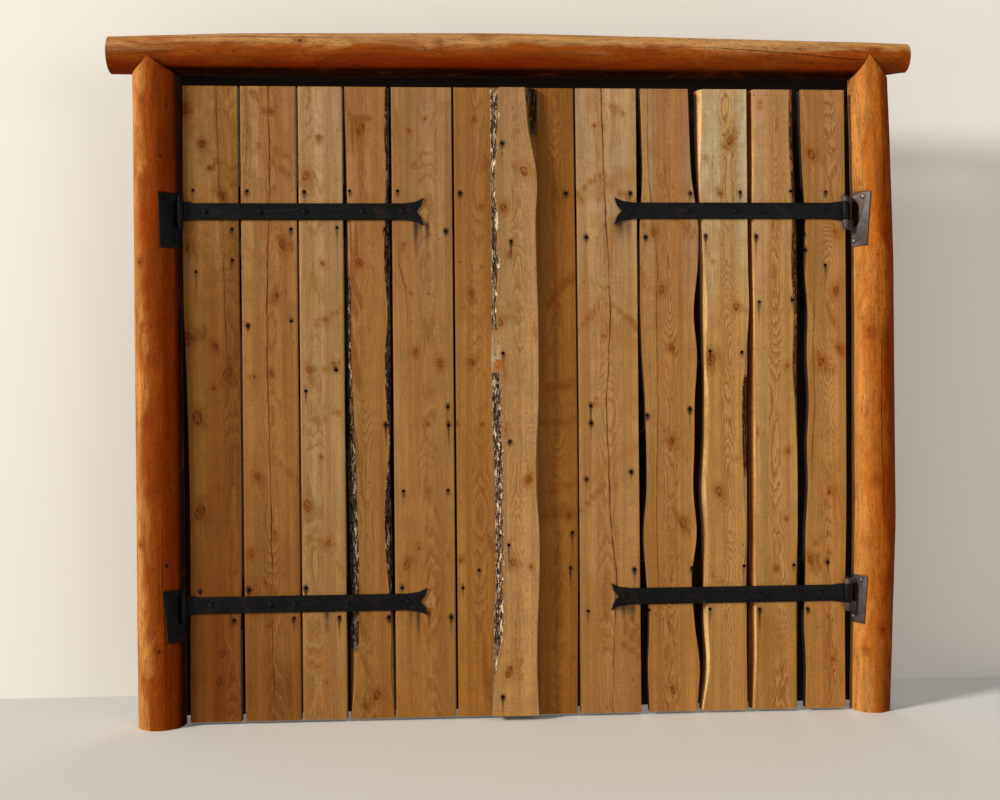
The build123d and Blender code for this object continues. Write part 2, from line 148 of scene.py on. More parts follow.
def copyOf(node, name):
    # a merged copy of a CAD part, to be worked on
    piece = copied(frame["nodes"][node])
    piece.parent = None
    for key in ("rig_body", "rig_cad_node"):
        del piece[key]
    pick(piece)
    bpy.ops.object.mode_set(mode="EDIT")
    bpy.ops.mesh.select_all(action="SELECT")
    bpy.ops.mesh.remove_doubles(threshold=hair / 5)
    bpy.ops.mesh.dissolve_limited(angle_limit=math.radians(0.4))
    bpy.ops.object.mode_set(mode="OBJECT")
    return settle(piece, name)


def joined(pieces, name):
    pick(*pieces)
    bpy.ops.object.join()
    return settle(bpy.context.object, name)


def plain(node):
    # the node's name without underscores
    return node.replace("_", "")


def handOver(piece, body, slot, *standsFor):
    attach(piece, body)
    if standsFor:
        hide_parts(*standsFor)


def wander(seed, at, size):
    # a slow random walk between -0.5 and 0.5 along one length
    heights, place = np.unique(np.round(at, 6), return_inverse=True)
    walk = [0.5 * noise.noise(Vector((h / size, seed * 7.31, 0.5))) for h in heights]
    return np.array(walk)[place.reshape(-1)]


# Finishes
def paint(red, green, blue):
    # a colour as seen on screen, 0 to 255
    part = [c / 255 for c in (red, green, blue)]
    return tuple(c / 12.92 if c < 0.04045 else ((c + 0.055) / 1.055) ** 2.4 for c in part) + (1.0,)


def toned(colour, shares):
    return tuple(min(1.0, c * k) for c, k in zip(colour, shares + (1,)))


class Strand:
    def __init__(self, finish, socket):
        self.finish, self.socket = finish, socket

    def maths(self, operation, *values):
        return self.finish.maths(operation, *values)

    def __add__(self, other): return self.maths("ADD", self, other)
    def __radd__(self, other): return self.maths("ADD", other, self)
    def __sub__(self, other): return self.maths("SUBTRACT", self, other)
    def __rsub__(self, other): return self.maths("SUBTRACT", other, self)
    def __mul__(self, other): return self.maths("MULTIPLY", self, other)
    def __rmul__(self, other): return self.maths("MULTIPLY", other, self)
    def __truediv__(self, other): return self.maths("DIVIDE", self, other)
    def __rtruediv__(self, other): return self.maths("DIVIDE", other, self)


class Finish:
    def __init__(self, name):
        self.material = bpy.data.materials.new(name)
        self.material.use_nodes = True
        self.tree = self.material.node_tree
        self.shader = self.tree.nodes["Principled BSDF"]

    def node(self, kind, settings=None, *values, out=0, **named):
        made = self.tree.nodes.new(kind)
        for key, value in (settings or {}).items():
            setattr(made, key, value)
        for key, value in [*enumerate(values), *named.items()]:
            if isinstance(value, Strand):
                self.tree.links.new(value.socket, made.inputs[key])
            elif value is not None:
                made.inputs[key].default_value = value
        return Strand(self, made.outputs[out])

    def maths(self, operation, *values):
        return self.node("ShaderNodeMath", {"operation": operation}, *values)

    def place(self):
        return self.node("ShaderNodeTexCoord", out="Object")

    def field(self, name):
        return self.split(self.node("ShaderNodeAttribute", {"attribute_name": name}, out="Vector"))

    def split(self, vector):
        made = self.node("ShaderNodeSeparateXYZ", None, vector)
        return [Strand(self, s) for s in made.socket.node.outputs]

    def vector(self, x, y, z):
        return self.node("ShaderNodeCombineXYZ", None, x, y, z)

    def cloud(self, at, scale, detail=2.0, roughness=0.5, distortion=0.0):
        return self.node("ShaderNodeTexNoise", None, Vector=at, Scale=scale, Detail=detail,
                         Roughness=roughness, Distortion=distortion)

    def rise(self, value, low, high):
        # 0 below low, 1 above high
        smoothly = {"interpolation_type": "SMOOTHSTEP"}
        return self.node("ShaderNodeMapRange", smoothly, value, low, high, 0.0, 1.0)

    def fall(self, value, low, high):
        # 1 below low, 0 above high
        return 1 - self.rise(value, low, high)

    def apart(self, value, middle=0.0):
        # how far a value is from the middle, either way
        return self.maths("ABSOLUTE", value - middle if middle else value)

    def blend(self, a, b, share):
        # the mix node's sockets 6 and 7 and output 2 are those for colours
        gap = [None] * 5
        return self.node("ShaderNodeMix", {"data_type": "RGBA"}, share, *gap, a, b, out=2)

    def shade(self, colour, amount):
        # darkens or lightens a colour by a number
        return self.node("ShaderNodeVectorMath", {"operation": "SCALE"}, colour, Scale=amount)

    def coats(self, colour, *layers):
        # lays colours over one another by their shares, and shades them by a lone number
        for layer in layers:
            lay = isinstance(layer, tuple)
            colour = self.blend(colour, *layer) if lay else self.shade(colour, layer)
        return colour

    def bump(self, height, distance, strength):
        return self.node("ShaderNodeBump", None, Strength=strength, Distance=distance, Height=height)

    def finish(self, colour, roughness, normal=None, **fixed):
        for name, value in fixed.items():
            self.shader.inputs[name.replace("_", " ")].default_value = value
        for name, value in (("Base Color", colour), ("Roughness", roughness), ("Normal", normal)):
            if isinstance(value, Strand):
                self.tree.links.new(value.socket, self.shader.inputs[name])
            elif value is not None:
                self.shader.inputs[name].default_value = value
        return self.material


# Camera, floor, backdrop and lamps
studio = {
    "eye": (-0.3096, -4.351, 1.2623),
    "turn": 3.129, "tilt": -0.428, "roll": -0.466,  # degrees to the right, up and clockwise
    "lens": 40.43, "sensor": 36,
    "floor": paint(222, 218, 210),
    "backdrop": paint(226, 222, 214), "backdropY": 0.42, "reach": 20.0, "backdropTop": 12.0,
    "doorway": (-1.375, 1.395, 0.0, 2.575), "doorwayY": 0.115, "doorwayShade": paint(14, 9, 7),
    "world": 0.30, "lampsFace": (0, 0, 1.2),
    "key": {"at": (-21.0, -10.5, 10.65), "size": 3.9, "power": 7090.0, "colour": (1.0, 0.96, 0.9)},
    "fill": {"at": (4.5, -6.5, 2.4), "size": 3.5, "power": 130.0, "colour": (1.0, 0.97, 0.93)},
    "back": {"at": (1.5, 7.0, 5.0), "size": 3.0, "power": 90.0, "colour": (1.0, 1.0, 1.0)},
}
turn, tilt, roll = (math.radians(studio[k]) for k in ("turn", "tilt", "roll"))
ahead = Vector((math.sin(turn) * math.cos(tilt), math.cos(turn) * math.cos(tilt), math.sin(tilt)))
level = Vector((math.cos(turn), -math.sin(turn), 0))
upward = level.cross(ahead)
right = level * math.cos(roll) + upward * math.sin(roll)
upward = upward * math.cos(roll) - level * math.sin(roll)
bpy.ops.object.camera_add(location=studio["eye"])
camera = bpy.context.object
camera.rotation_euler = Matrix((right, upward, -ahead)).transposed().to_euler()
camera.data.lens = studio["lens"]
camera.data.sensor_width = studio["sensor"]
bpy.context.scene.camera = camera


def stagePlane(name, corners, finish, oneSided):
    bpy.ops.mesh.primitive_plane_add(size=1)
    plane = bpy.context.object
    for vertex, corner in zip(plane.data.vertices, corners):
        vertex.co = corner
    plane.name = name
    plane.data.materials.append(finish)
    if oneSided:  # seen from the front only, and out of the light's way
        for ray in ("diffuse", "glossy", "transmission", "shadow"):
            setattr(plane, "visible_" + ray, False)


def stageFinish(name, colour, oneSided):
    made = Finish(name)
    made.finish(colour, 0.9)
    if oneSided:
        behind = made.node("ShaderNodeNewGeometry", out="Backfacing")
        clear = made.node("ShaderNodeBsdfTransparent")
        solid = Strand(made, made.shader.outputs[0])
        mixed = made.node("ShaderNodeMixShader", None, behind, solid, clear)
        made.tree.links.new(mixed.socket, made.tree.nodes["Material Output"].inputs["Surface"])
    return made.material


def upright(x0, x1, y, z0, z1):
    return [(x0, y, z0), (x1, y, z0), (x0, y, z1), (x1, y, z1)]


far, y = studio["reach"], studio["backdropY"]
stagePlane("floor", [(-far, -far, 0), (far, -far, 0), (-far, far, 0), (far, far, 0)],
           stageFinish("floorPaper", studio["floor"], False), False)
stagePlane("backdrop", upright(-far, far, y, 0, studio["backdropTop"]),
           stageFinish("backdropPaper", studio["backdrop"], True), True)
x0, x1, z0, z1 = studio["doorway"]
stagePlane("doorwayShade", upright(x0, x1, studio["doorwayY"], z0, z1),
           stageFinish("doorwayDark", studio["doorwayShade"], True), True)

for name in ("key", "fill", "back"):
    lamp = studio[name]
    bpy.ops.object.light_add(type="AREA", location=lamp["at"])
    light = bpy.context.object
    light.name = name + "Lamp"
    light.data.size = lamp["size"]
    light.data.energy = lamp["power"]
    light.data.color = lamp["colour"]
    toDoor = Vector(studio["lampsFace"]) - Vector(lamp["at"])
    light.rotation_euler = toDoor.to_track_quat("-Z", "Y").to_euler()
world = bpy.data.worlds.new("studio")
world.use_nodes = True
world.node_tree.nodes["Background"].inputs["Color"].default_value = (1, 1, 1, 1)
world.node_tree.nodes["Background"].inputs["Strength"].default_value = studio["world"]
bpy.context.scene.world = world
bpy.context.scene.view_settings.view_transform = "Standard"
print("stage set")


# Boards, in millimetres as seen from the front. Head, wood and foot are the colours at the top,
# middle and bottom, and heart is the pith's place from the board's middle and front face. Knots
# are (x, z, radius), nails (x, z), cracks rows of (x, z). Growth marks and torn grain are strokes:
# two ends, width and strength. Scorch is (x, z, radius) of a pale patch, and bands are (z, slope)
# of the mill's marks. Bark is (z, cover) along each edge, barkReach how far it laps on to the
# face, wane the colour of the log's outside, waneShadeFrom the share of the depth where painted
# shade darkens it, and inner the share up to which only inner bark is left.
boards = {
    "left_board_1": {
        "head": (145, 104, 58), "wood": (116, 74, 23), "foot": (100, 43, 5), "heart": (70, 95), "seed": 1,
        "knots": [(-1268, 2342, 18), (-1195, 2210, 15), (-1172, 2120, 8), (-1124, 2015, 13),
            (-1255, 1820, 13), (-1262, 1473, 22), (-1155, 1443, 12), (-1110, 1340, 20), (-1164, 1286, 9),
            (-1225, 1173, 20), (-1218, 812, 21), (-1147, 907, 8), (-1140, 270, 14), (-1152, 165, 13)],
        "nails": [(-1233, 2036), (-1088, 1889), (-1225, 1726), (-1089, 1771), (-1222, 509), (-1095, 400)],
        "growth": [(-1271, 2339, -1233, 2347, 28, 0.5), (-1157, 2112, -1142, 2142, 12, 0.5),
            (-1257, 1460, -1204, 1498, 23, 0.6), (-1108, 1391, -1094, 1315, 11, 0.5),
            (-1101, 1315, -1064, 1307, 25, 0.55), (-1268, 1907, -1239, 1801, 34, 0.35),
            (-1218, 837, -1204, 753, 25, 0.45), (-1250, 708, -1229, 510, 34, 0.2)],
        "torn": [(-1135, 2415, -1121, 1998, 25, 0.8), (-1135, 1710, -1125, 1566, 23, 0.8)],
        "cracks": [[(-1143, 2380), (-1136, 2200), (-1132, 2040)], [(-1120, 1733), (-1115, 1486),
            (-1109, 1334)]],
    },
    "left_board_2": {
        "head": (152, 118, 79), "wood": (141, 97, 46), "foot": (100, 55, 12), "heart": (5, 70), "seed": 2,
        "crackDark": 0.9,
        "knots": [(-938, 2337, 9), (-985, 2205, 7), (-899, 1830, 14), (-921, 1631, 12), (-944, 1605, 8),
            (-944, 1339, 10), (-1010, 1320, 9), (-938, 1005, 10), (-998, 945, 14), (-938, 729, 7),
            (-1027, 652, 14), (-975, 545, 8), (-958, 380, 9), (-950, 180, 8)],
        "nails": [(-1030, 2033), (-866, 1889), (-1033, 1521), (-869, 1538), (-1038, 514), (-868, 404)],
        "growth": [(-1019, 2412, -989, 2382, 15, 0.5), (-967, 2329, -925, 2348, 11, 0.5),
            (-924, 2132, -867, 2098, 15, 0.5), (-919, 2189, -867, 2166, 21, 0.45),
            (-904, 1854, -874, 1816, 23, 0.5), (-948, 1618, -910, 1641, 28, 0.5),
            (-1048, 1314, -1018, 1322, 10, 0.4), (-1039, 2408, -1038, 1999, 30, 0.4),
            (-901, 970, -848, 931, 28, 0.4), (-1038, 857, -992, 872, 14, 0.35),
            (-1046, 48, -1016, 17, 14, 0.4)],
        "torn": [(-1000, 2378, -981, 2029, 28, 0.25), (-860, 2075, -852, 1694, 14, 0.5)],
        "cracks": [[(-947, 2430), (-943, 2075), (-953, 1809), (-959, 1656), (-959, 1238), (-951, 856),
            (-949, 600)], [(-950, 330), (-945, 120)]],
    },
    "left_board_3": {
        "head": (161, 132, 94), "wood": (156, 121, 76), "foot": (138, 89, 33), "heart": (-30, 150),
        "seed": 3,
        "knots": [(-758, 2237, 9), (-808, 2090, 14), (-745, 1752, 11), (-775, 1530, 8), (-735, 1535, 9),
            (-800, 1350, 12), (-712, 1372, 10), (-759, 1016, 8), (-812, 832, 17), (-735, 690, 12),
            (-742, 360, 7), (-745, 150, 8)],
        "nails": [(-815, 2031), (-692, 1894), (-816, 1271), (-700, 1350), (-822, 518), (-696, 404)],
        "growth": [(-830, 2113, -781, 2083, 15, 0.55), (-800, 2075, -785, 2029, 11, 0.35),
            (-748, 1537, -679, 1583, 14, 0.5), (-782, 1530, -767, 1530, 18, 0.4),
            (-831, 1366, -769, 1343, 6, 0.5), (-769, 1343, -689, 1374, 6, 0.5),
            (-801, 1171, -770, 1148, 10, 0.5), (-736, 1163, -687, 1189, 10, 0.5),
            (-841, 855, -804, 808, 18, 0.35), (-835, 717, -721, 688, 18, 0.35),
            (-692, 607, -669, 576, 21, 0.4)],
        "torn": [(-812, 2410, -793, 1999, 41, 0.3)],
    },
    "left_board_4": {
        "head": (144, 108, 75), "wood": (145, 103, 54), "foot": (134, 81, 25), "heart": (-5, 45),
        "seed": 4, "rings": 1.2, "ringGap": 4.8, "barkLook": "mixed",
        "knots": [(-597, 2269, 17), (-600, 2130, 6), (-608, 1759, 17), (-556, 100, 16), (-600, 60, 9)],
        "nails": [(-643, 2034), (-509, 1888), (-512, 1139), (-647, 511), (-507, 401)],
        "growth": [(-660, 2388, -632, 2205, 28, 0.45), (-635, 2308, -566, 2316, 10, 0.55),
            (-651, 1739, -603, 1602, 10, 0.7), (-653, 1686, -622, 1556, 8, 0.7),
            (-645, 1556, -628, 1311, 10, 0.7), (-631, 1457, -616, 1288, 8, 0.7),
            (-619, 1892, -628, 1724, 11, 0.5), (-653, 1968, -643, 1770, 11, 0.5),
            (-634, 1120, -624, 982, 10, 0.7), (-635, 561, -617, 499, 14, 0.6),
            (-617, 407, -599, 322, 11, 0.6), (-615, 268, -585, 176, 7, 0.5),
            (-574, 129, -513, 82, 21, 0.35), (-571, 2205, -526, 2091, 28, 0.25)],
        "torn": [(-525, 2228, -519, 2030, 34, 0.35), (-541, 1732, -523, 1578, 41, 0.35)],
        "bark": {"left": [(0, 0), (250, 0), (310, 1), (1640, 1), (1720, 0.3), (1800, 0)],
            "right": [(0, 0.0), (300, 0.2), (620, 1), (2431, 1)]},
    },
    "left_board_5": {
        "head": (139, 106, 73), "wood": (149, 108, 58), "foot": (134, 84, 25), "heart": (20, 120),
        "seed": 5,
        "knots": [(-352, 2310, 6), (-415, 2265, 7), (-398, 2130, 7), (-440, 1824, 8), (-410, 1640, 5),
            (-345, 1640, 5), (-396, 1415, 12), (-304, 1374, 13), (-352, 1138, 8), (-350, 885, 6),
            (-390, 667, 9), (-436, 601, 15), (-352, 145, 8)],
        "scorch": [(-379, 1950, 40), (-362, 462, 42)],
        "nails": [(-460, 2034), (-276, 1881), (-272, 1134), (-274, 1205), (-447, 884), (-276, 885),
            (-456, 511), (-269, 396)],
        "growth": [(-463, 2328, -471, 2244, 21, 0.3), (-448, 1413, -395, 1413, 11, 0.35),
            (-322, 1378, -288, 1370, 17, 0.35), (-455, 604, -421, 607, 18, 0.35),
            (-405, 187, -398, 187, 17, 0.35), (-271, 631, -257, 616, 12, 0.5)],
        "cracks": [[(-457, 1751), (-440, 1700), (-427, 1655)]],
    },
    "left_board_6": {
        "head": (130, 93, 53), "wood": (148, 101, 49), "foot": (153, 103, 35), "heart": (-40, 80),
        "seed": 6,
        "knots": [(-165, 2310, 9), (-133, 2130, 8), (-133, 1985, 9), (-178, 1636, 11), (-180, 1373, 13),
            (-142, 1137, 8), (-240, 1140, 8), (-141, 885, 5), (-230, 616, 10), (-135, 140, 8)],
        "nails": [(-221, 2027), (-160, 575), (-222, 507)],
        "growth": [(-127, 2169, -120, 2123, 18, 0.45), (-232, 1554, -171, 1539, 25, 0.2),
            (-192, 1370, -165, 1385, 12, 0.4), (-143, 305, -118, 72, 23, 0.35),
            (-116, 698, -101, 644, 14, 0.5), (-240, 623, -223, 615, 10, 0.4),
            (-248, 600, -238, 461, 12, 0.25)],
    },
    "lap_board": {
        "head": (139, 101, 68), "wood": (164, 126, 76), "foot": (174, 130, 71), "heart": (10, 50),
        "seed": 7, "saw": 1.6, "ringGap": 5.0, "barkLook": "flecked", "barkRightShaded": "dark",
        "barkReach": 4.0, "inner": 0.15, "wane": (160, 146, 116), "waneShadeFrom": 2.0,
        "knots": [(23, 2102, 17), (-57, 1961, 16), (-34, 1786, 12), (-40, 1600, 6), (-72, 1526, 15),
            (-82, 1362, 20), (-60, 1120, 9), (30, 924, 15), (-32, 607, 14), (38, 590, 7), (-50, 190, 16)],
        "nails": [(-60, 2209), (-29, 1836), (-63, 1409), (-39, 1073), (-47, 676), (-74, 95)],
        "growth": [(31, 2145, 72, 2053, 18, 0.25), (-66, 1551, -4, 1543, 19, 0.4),
            (-67, 1352, -52, 1314, 18, 0.5), (57, 1519, 75, 1458, 17, 0.4),
            (-69, 1154, -38, 1131, 18, 0.35), (29, 977, 44, 931, 7, 0.4), (-25, 1817, 5, 1817, 6, 0.5)],
        "bark": {"left": [(0, 0), (150, 0.2), (230, 1), (1300, 1), (1356, 0.1), (1480, 0.1), (1530, 1),
            (2431, 1)], "right": [(0, 0.12), (2160, 0.12), (2400, 1), (2431, 1)]},
    },
    # painted shade: this board is coloured darker, as in the lap board's shadow
    "right_board_1": {
        "head": (98, 67, 30), "wood": (140, 91, 33), "foot": (129, 71, 11), "heart": (30, 90), "seed": 8,
        "knots": [(150, 1600, 9), (190, 780, 12)],
        "nails": [(188, 2027), (204, 715), (195, 577)],
        "growth": [(115, 1591, 217, 1715, 15, 0.75), (178, 1680, 205, 1692, 21, 0.6),
            (89, 1259, 230, 1305, 30, 0.6), (84, 2278, 82, 1306, 14, 0.4),
            (96, 1143, 228, 1142, 25, 0.45), (94, 795, 226, 794, 48, 0.4), (94, 865, 227, 902, 21, 0.4),
            (82, 277, 190, 243, 41, 0.3)],
        "bands": [(1690, 0.55), (1380, 0.2), (760, 0.12), (930, 0.25)],
    },
    "right_board_2": {
        "head": (162, 136, 99), "wood": (161, 119, 69), "foot": (147, 99, 43), "heart": (-10, 75),
        "seed": 9, "saw": 1.5, "crackDark": 0.9,
        "knots": [(300, 2290, 7), (340, 1900, 7), (330, 1480, 8), (300, 1230, 6), (372, 890, 8)],
        "nails": [(438, 2028), (265, 1857), (278, 1204), (278, 1138), (260, 920), (434, 947), (444, 569),
            (262, 409)],
        "growth": [(243, 2031, 329, 2101, 14, 0.5), (239, 2008, 254, 2000, 12, 0.5),
            (239, 1498, 309, 1598, 19, 0.45), (362, 2363, 397, 2344, 18, 0.5),
            (383, 2039, 464, 1996, 17, 0.55), (376, 1590, 465, 1505, 15, 0.5),
            (426, 1536, 465, 1489, 10, 0.5), (358, 1907, 365, 1768, 34, 0.3),
            (241, 801, 320, 893, 10, 0.5), (275, 1212, 322, 1216, 7, 0.4), (402, 356, 468, 300, 7, 0.8),
            (398, 333, 464, 269, 6, 0.6), (385, 287, 467, 223, 8, 0.7), (425, 379, 468, 332, 6, 0.6)],
        "torn": [(343, 2417, 348, 2031, 14, 0.3), (283, 1227, 301, 529, 28, 0.3)],
        "cracks": [[(326, 2425), (337, 2116), (350, 1768), (357, 1600), (352, 1400), (340, 1226),
            (348, 955), (354, 722), (376, 528), (362, 250), (358, 15)]],
        "bands": [(1980, 0.5), (1560, -0.6), (870, 0.7), (330, -0.5)],
    },
    "right_board_3": {
        "head": (151, 122, 91), "wood": (156, 111, 59), "foot": (165, 111, 53), "heart": (0, 38),
        "seed": 10, "rings": 1.5, "ringGap": 4.4,
        "knots": [(530, 1873, 13), (558, 1653, 13), (597, 1427, 14), (595, 1065, 14), (636, 746, 15),
            (590, 95, 12)],
        "nails": [(673, 2028), (497, 1857), (498, 1167), (667, 1189), (670, 570), (500, 409)],
        "growth": [(507, 1892, 554, 1869, 25, 0.4), (632, 1907, 671, 1876, 34, 0.45),
            (474, 1722, 505, 1659, 28, 0.35), (587, 2171, 594, 2001, 41, 0.25),
            (572, 1123, 626, 1022, 41, 0.3), (617, 788, 647, 710, 34, 0.4),
            (577, 742, 607, 524, 41, 0.25), (566, 369, 612, 134, 41, 0.22),
            (359, 893, 370, 893, 21, 0.1)],
        "torn": [(483, 2418, 496, 2000, 12, 0.9), (486, 1768, 496, 1535, 21, 0.5),
            (662, 1690, 668, 1379, 28, 0.4)],
        "cracks": [[(508, 2388), (512, 2078), (544, 1720), (538, 1640), (541, 1225), (534, 758),
            (541, 420)]],
    },
    "right_board_4": {
        "head": (177, 162, 129), "wood": (166, 126, 71), "foot": (162, 116, 64), "heart": (20, 32),
        "seed": 11, "rings": 1.5, "ringGap": 4.4, "barkLook": "red", "barkReach": 9.0,
        "wane": (226, 184, 122),
        "knots": [(832, 2234, 14), (790, 2030, 9), (851, 1584, 15), (752, 1380, 18), (780, 865, 14)],
        "nails": [(869, 2032), (733, 1863), (747, 1414), (873, 1409), (876, 574), (740, 408)],
        "growth": [(713, 2171, 760, 2140, 28, 0.3), (739, 1402, 754, 1347, 18, 0.8),
            (749, 1775, 765, 1760, 7, 0.4), (786, 1394, 817, 1300, 34, 0.25),
            (858, 1596, 898, 1565, 18, 0.3), (760, 537, 780, 513, 17, 0.5),
            (854, 996, 894, 964, 28, 0.35)],
        "torn": [(863, 2234, 869, 2032, 28, 0.3)],
        "bark": {"left": [(0, 0)], "right": [(0, 0), (900, 0), (1010, 1), (1290, 1), (1330, 0)]},
    },
    "right_board_5": {
        "head": (165, 132, 102), "wood": (166, 125, 71), "foot": (140, 86, 29), "heart": (8, 42),
        "seed": 12, "rings": 1.4, "ringGap": 4.4, "barkLook": "red", "barkReach": 17.0,
        "wane": (228, 178, 108), "waneShadeFrom": 0.26,
        "knots": [(950, 2370, 7), (1009, 1631, 8), (1053, 1355, 9), (1053, 1020, 9), (1045, 753, 7),
            (1013, 669, 9), (1005, 560, 10)],
        "nails": [(1069, 2036), (932, 1861), (942, 1604), (1073, 1611), (1073, 575), (936, 404)],
        "growth": [(935, 2421, 940, 2032, 10, 0.15), (1011, 1954, 1018, 1876, 25, 0.3),
            (1028, 2102, 1051, 2032, 34, 0.25), (934, 1104, 942, 1089, 18, 0.5),
            (939, 674, 970, 549, 28, 0.25), (994, 517, 1065, 437, 41, 0.3)],
        "bark": {"left": [(0, 0)], "right": [(0, 0.2), (1200, 0.3), (1350, 1), (2431, 1)]},
    },
    "right_board_6": {
        "head": (141, 98, 61), "wood": (161, 114, 60), "foot": (158, 105, 45), "heart": (25, 40),
        "seed": 13, "rings": 1.4, "ringGap": 4.4,
        "knots": [(1153, 2179, 18), (1245, 1870, 11), (1247, 1646, 14), (1265, 1415, 12),
            (1185, 1369, 17), (1216, 859, 12), (1140, 590, 13), (1225, 200, 9)],
        "nails": [(1210, 2033), (1122, 1869), (1125, 1806), (1205, 1747), (1208, 582), (1127, 402)],
        "growth": [(1131, 2196, 1179, 2157, 34, 0.4), (1179, 2220, 1203, 2212, 14, 0.3),
            (1225, 1907, 1281, 1861, 34, 0.35), (1174, 1399, 1222, 1344, 28, 0.45),
            (1215, 1587, 1243, 1509, 12, 0.45), (1246, 1438, 1282, 1399, 21, 0.4),
            (1130, 617, 1169, 569, 34, 0.5), (1195, 937, 1274, 779, 41, 0.3),
            (1138, 640, 1186, 678, 7, 0.5), (1208, 356, 1238, 120, 34, 0.3)],
        "torn": [(1117, 2422, 1132, 2235, 17, 0.5), (1140, 1572, 1150, 1415, 21, 0.6),
            (1129, 515, 1143, 122, 28, 0.4)],
        "cracks": [[(1163, 1640), (1155, 1415), (1163, 1219), (1148, 985)]],
    },
}
boardMesh = {"rowPitch": 7.0, "columnPitch": 4.2, "sideCuts": 6, "barkRelief": 2.8, "sawnWander": 0.9,
             "arris": (1.8, 1.5), "edgeRows": 15, "round": 0.7, "flush": 0.06, "smooth": 40}
# How marks lie on the boards, in mm: the run below a nail is (width, shortest, longer by)
boardMarks = {"nailRun": (10, 46, 38), "nailSpot": 11.5, "runSway": 10, "reach": 160, "thinnest": 5.6}
# Iron that has run down the boards from the straps' tips: x, z of the top, width, length, strength
runs = [(-390, 1918, 26, 190, 0.75), (-348, 1915, 22, 160, 0.7), (-372, 1918, 12, 110, 0.6),
        (-423, 424, 22, 150, 0.5), (-395, 422, 24, 230, 0.6), (-352, 424, 18, 150, 0.6),
        (398, 1925, 60, 110, 0.7), (430, 1920, 30, 130, 0.6), (408, 428, 70, 90, 0.6),
        (438, 430, 34, 110, 0.6), (-745, 424, 30, 120, 0.55), (-588, 424, 20, 100, 0.4),
        (-1110, 424, 20, 90, 0.4), (1000, 1925, 22, 90, 0.4)]
# Distances where no knot or crack is near: in a knot's radii, and in mm
noKnot, noCrack = 8.0, 30.0


def edgeOf(node, y, side):
    # one edge of the board on one face: heights and x
    low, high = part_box(node)
    co = getPoints(frame["nodes"][node])
    inward = co[:, 0] - low.x if side == "left" else high.x - co[:, 0]
    face = co[(abs(co[:, 1] - y) < 2 * hair) & (inward < 0.3 * (high.x - low.x))]
    rows = []
    for z in np.linspace(low.z, high.z, boardMesh["edgeRows"]):
        row = face[abs(face[:, 2] - z) < 3 * hair]
        if len(row):
            rows.append((z, row[:, 0].min() if side == "left" else row[:, 0].max()))
    return np.array(rows)


def curved(rows, z):
    # a smooth line through the rows
    if len(rows) < 3:
        return np.interp(z, rows[:, 0], rows[:, 1])
    lean = np.gradient(rows[:, 1], rows[:, 0])
    i = np.clip(np.searchsorted(rows[:, 0], z) - 1, 0, len(rows) - 2)
    span = rows[i + 1, 0] - rows[i, 0]
    t = (z - rows[i, 0]) / span
    start = (2 * t**3 - 3 * t**2 + 1) * rows[i, 1] + (t**3 - 2 * t**2 + t) * span * lean[i]
    return start + (3 * t**2 - 2 * t**3) * rows[i + 1, 1] + (t**3 - t**2) * span * lean[i + 1]


def isWaned(look):
    return "wane" in look or "bark" in look


def boardShape(node, look):
    # a dense plank whose edges follow those of its CAD board, with bark and broken arrises
    low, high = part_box(node)
    bpy.ops.mesh.primitive_cube_add(size=1, location=(low + high) / 2, scale=high - low)
    board = settle(bpy.context.object, plain(node) + "Plank")
    waned = isWaned(look)
    rows = round((high.z - low.z) / mm / boardMesh["rowPitch"])
    cutEdges(board, lambda a, b: abs(a.z - b.z) > 0.5, rows)
    if waned:
        cutEdges(board, lambda a, b: abs(a.y - b.y) > 0.02 and abs(a.x - b.x) < hair,
                 boardMesh["sideCuts"])
    columns = round((high.x - low.x) / mm / boardMesh["columnPitch"])
    cutEdges(board, lambda a, b: abs(a.x - b.x) > 0.02 and max(a.y, b.y) < low.y + hair, columns)

    co = getPoints(board)
    z = co[:, 2]
    across = (co[:, 0] - low.x) / (high.x - low.x)
    depth = (co[:, 1] - low.y) / (high.y - low.y)
    edge = []
    for column, away, side in ((1, -1, "left"), (2, 1, "right")):
        ahead, behind = (curved(edgeOf(node, face, side), z) for face in (low.y, high.y))
        line = ahead + depth * (behind - ahead)
        rough = wander(look["seed"] + column, z, 0.05) + 0.5 * wander(look["seed"] + 3 * column, z, 0.017)
        line = line - away * abs(rough) * boardMesh["sawnWander"] * mm
        if waned:  # the log's own round, and its bark
            line = line + away * boardMesh["round"] * depth * (1 - depth) * abs(behind - ahead)
            cover = barkCover(look, side, z)
            spots, place = np.unique(np.round(co[:, 1:], 6), axis=0, return_inverse=True)
            crust = np.array([noise.noise(Vector((p[0] * 90, p[1] * 40, look["seed"] + 9.0 * column))) +
                              0.6 * noise.noise(Vector((p[0] * 260, p[1] * 130, look["seed"])))
                              for p in spots])[place.reshape(-1)]
            relief = crust * cover * boardMesh["barkRelief"]
            line = line + away * relief * mm * (0.25 + 2 * depth * (1 - depth))
        edge.append(line)
    width, drop = (part * mm for part in boardMesh["arris"])
    step, inset = 1 / (columns + 1), width / (high.x - low.x)
    front = depth < 0.001
    across = np.where(front & (abs(across - step) < 0.1 * step), inset, across)
    across = np.where(front & (abs(across - 1 + step) < 0.1 * step), 1 - inset, across)
    co[:, 1] += np.where(front & ((across < 0.0001) | (across > 0.9999)), drop, 0)
    co[:, 0] = edge[0] + across * (edge[1] - edge[0])
    setPoints(board, co)
    return board, across, depth, co, edge


def barkCover(look, side, z):
    # how much of the edge is under bark at each height, 0 to 1
    rows = look.get("bark", {}).get(side)
    if not rows:
        return np.zeros_like(z)
    rows = np.array(rows, float)
    return np.interp(z / mm, rows[:, 0], rows[:, 1])


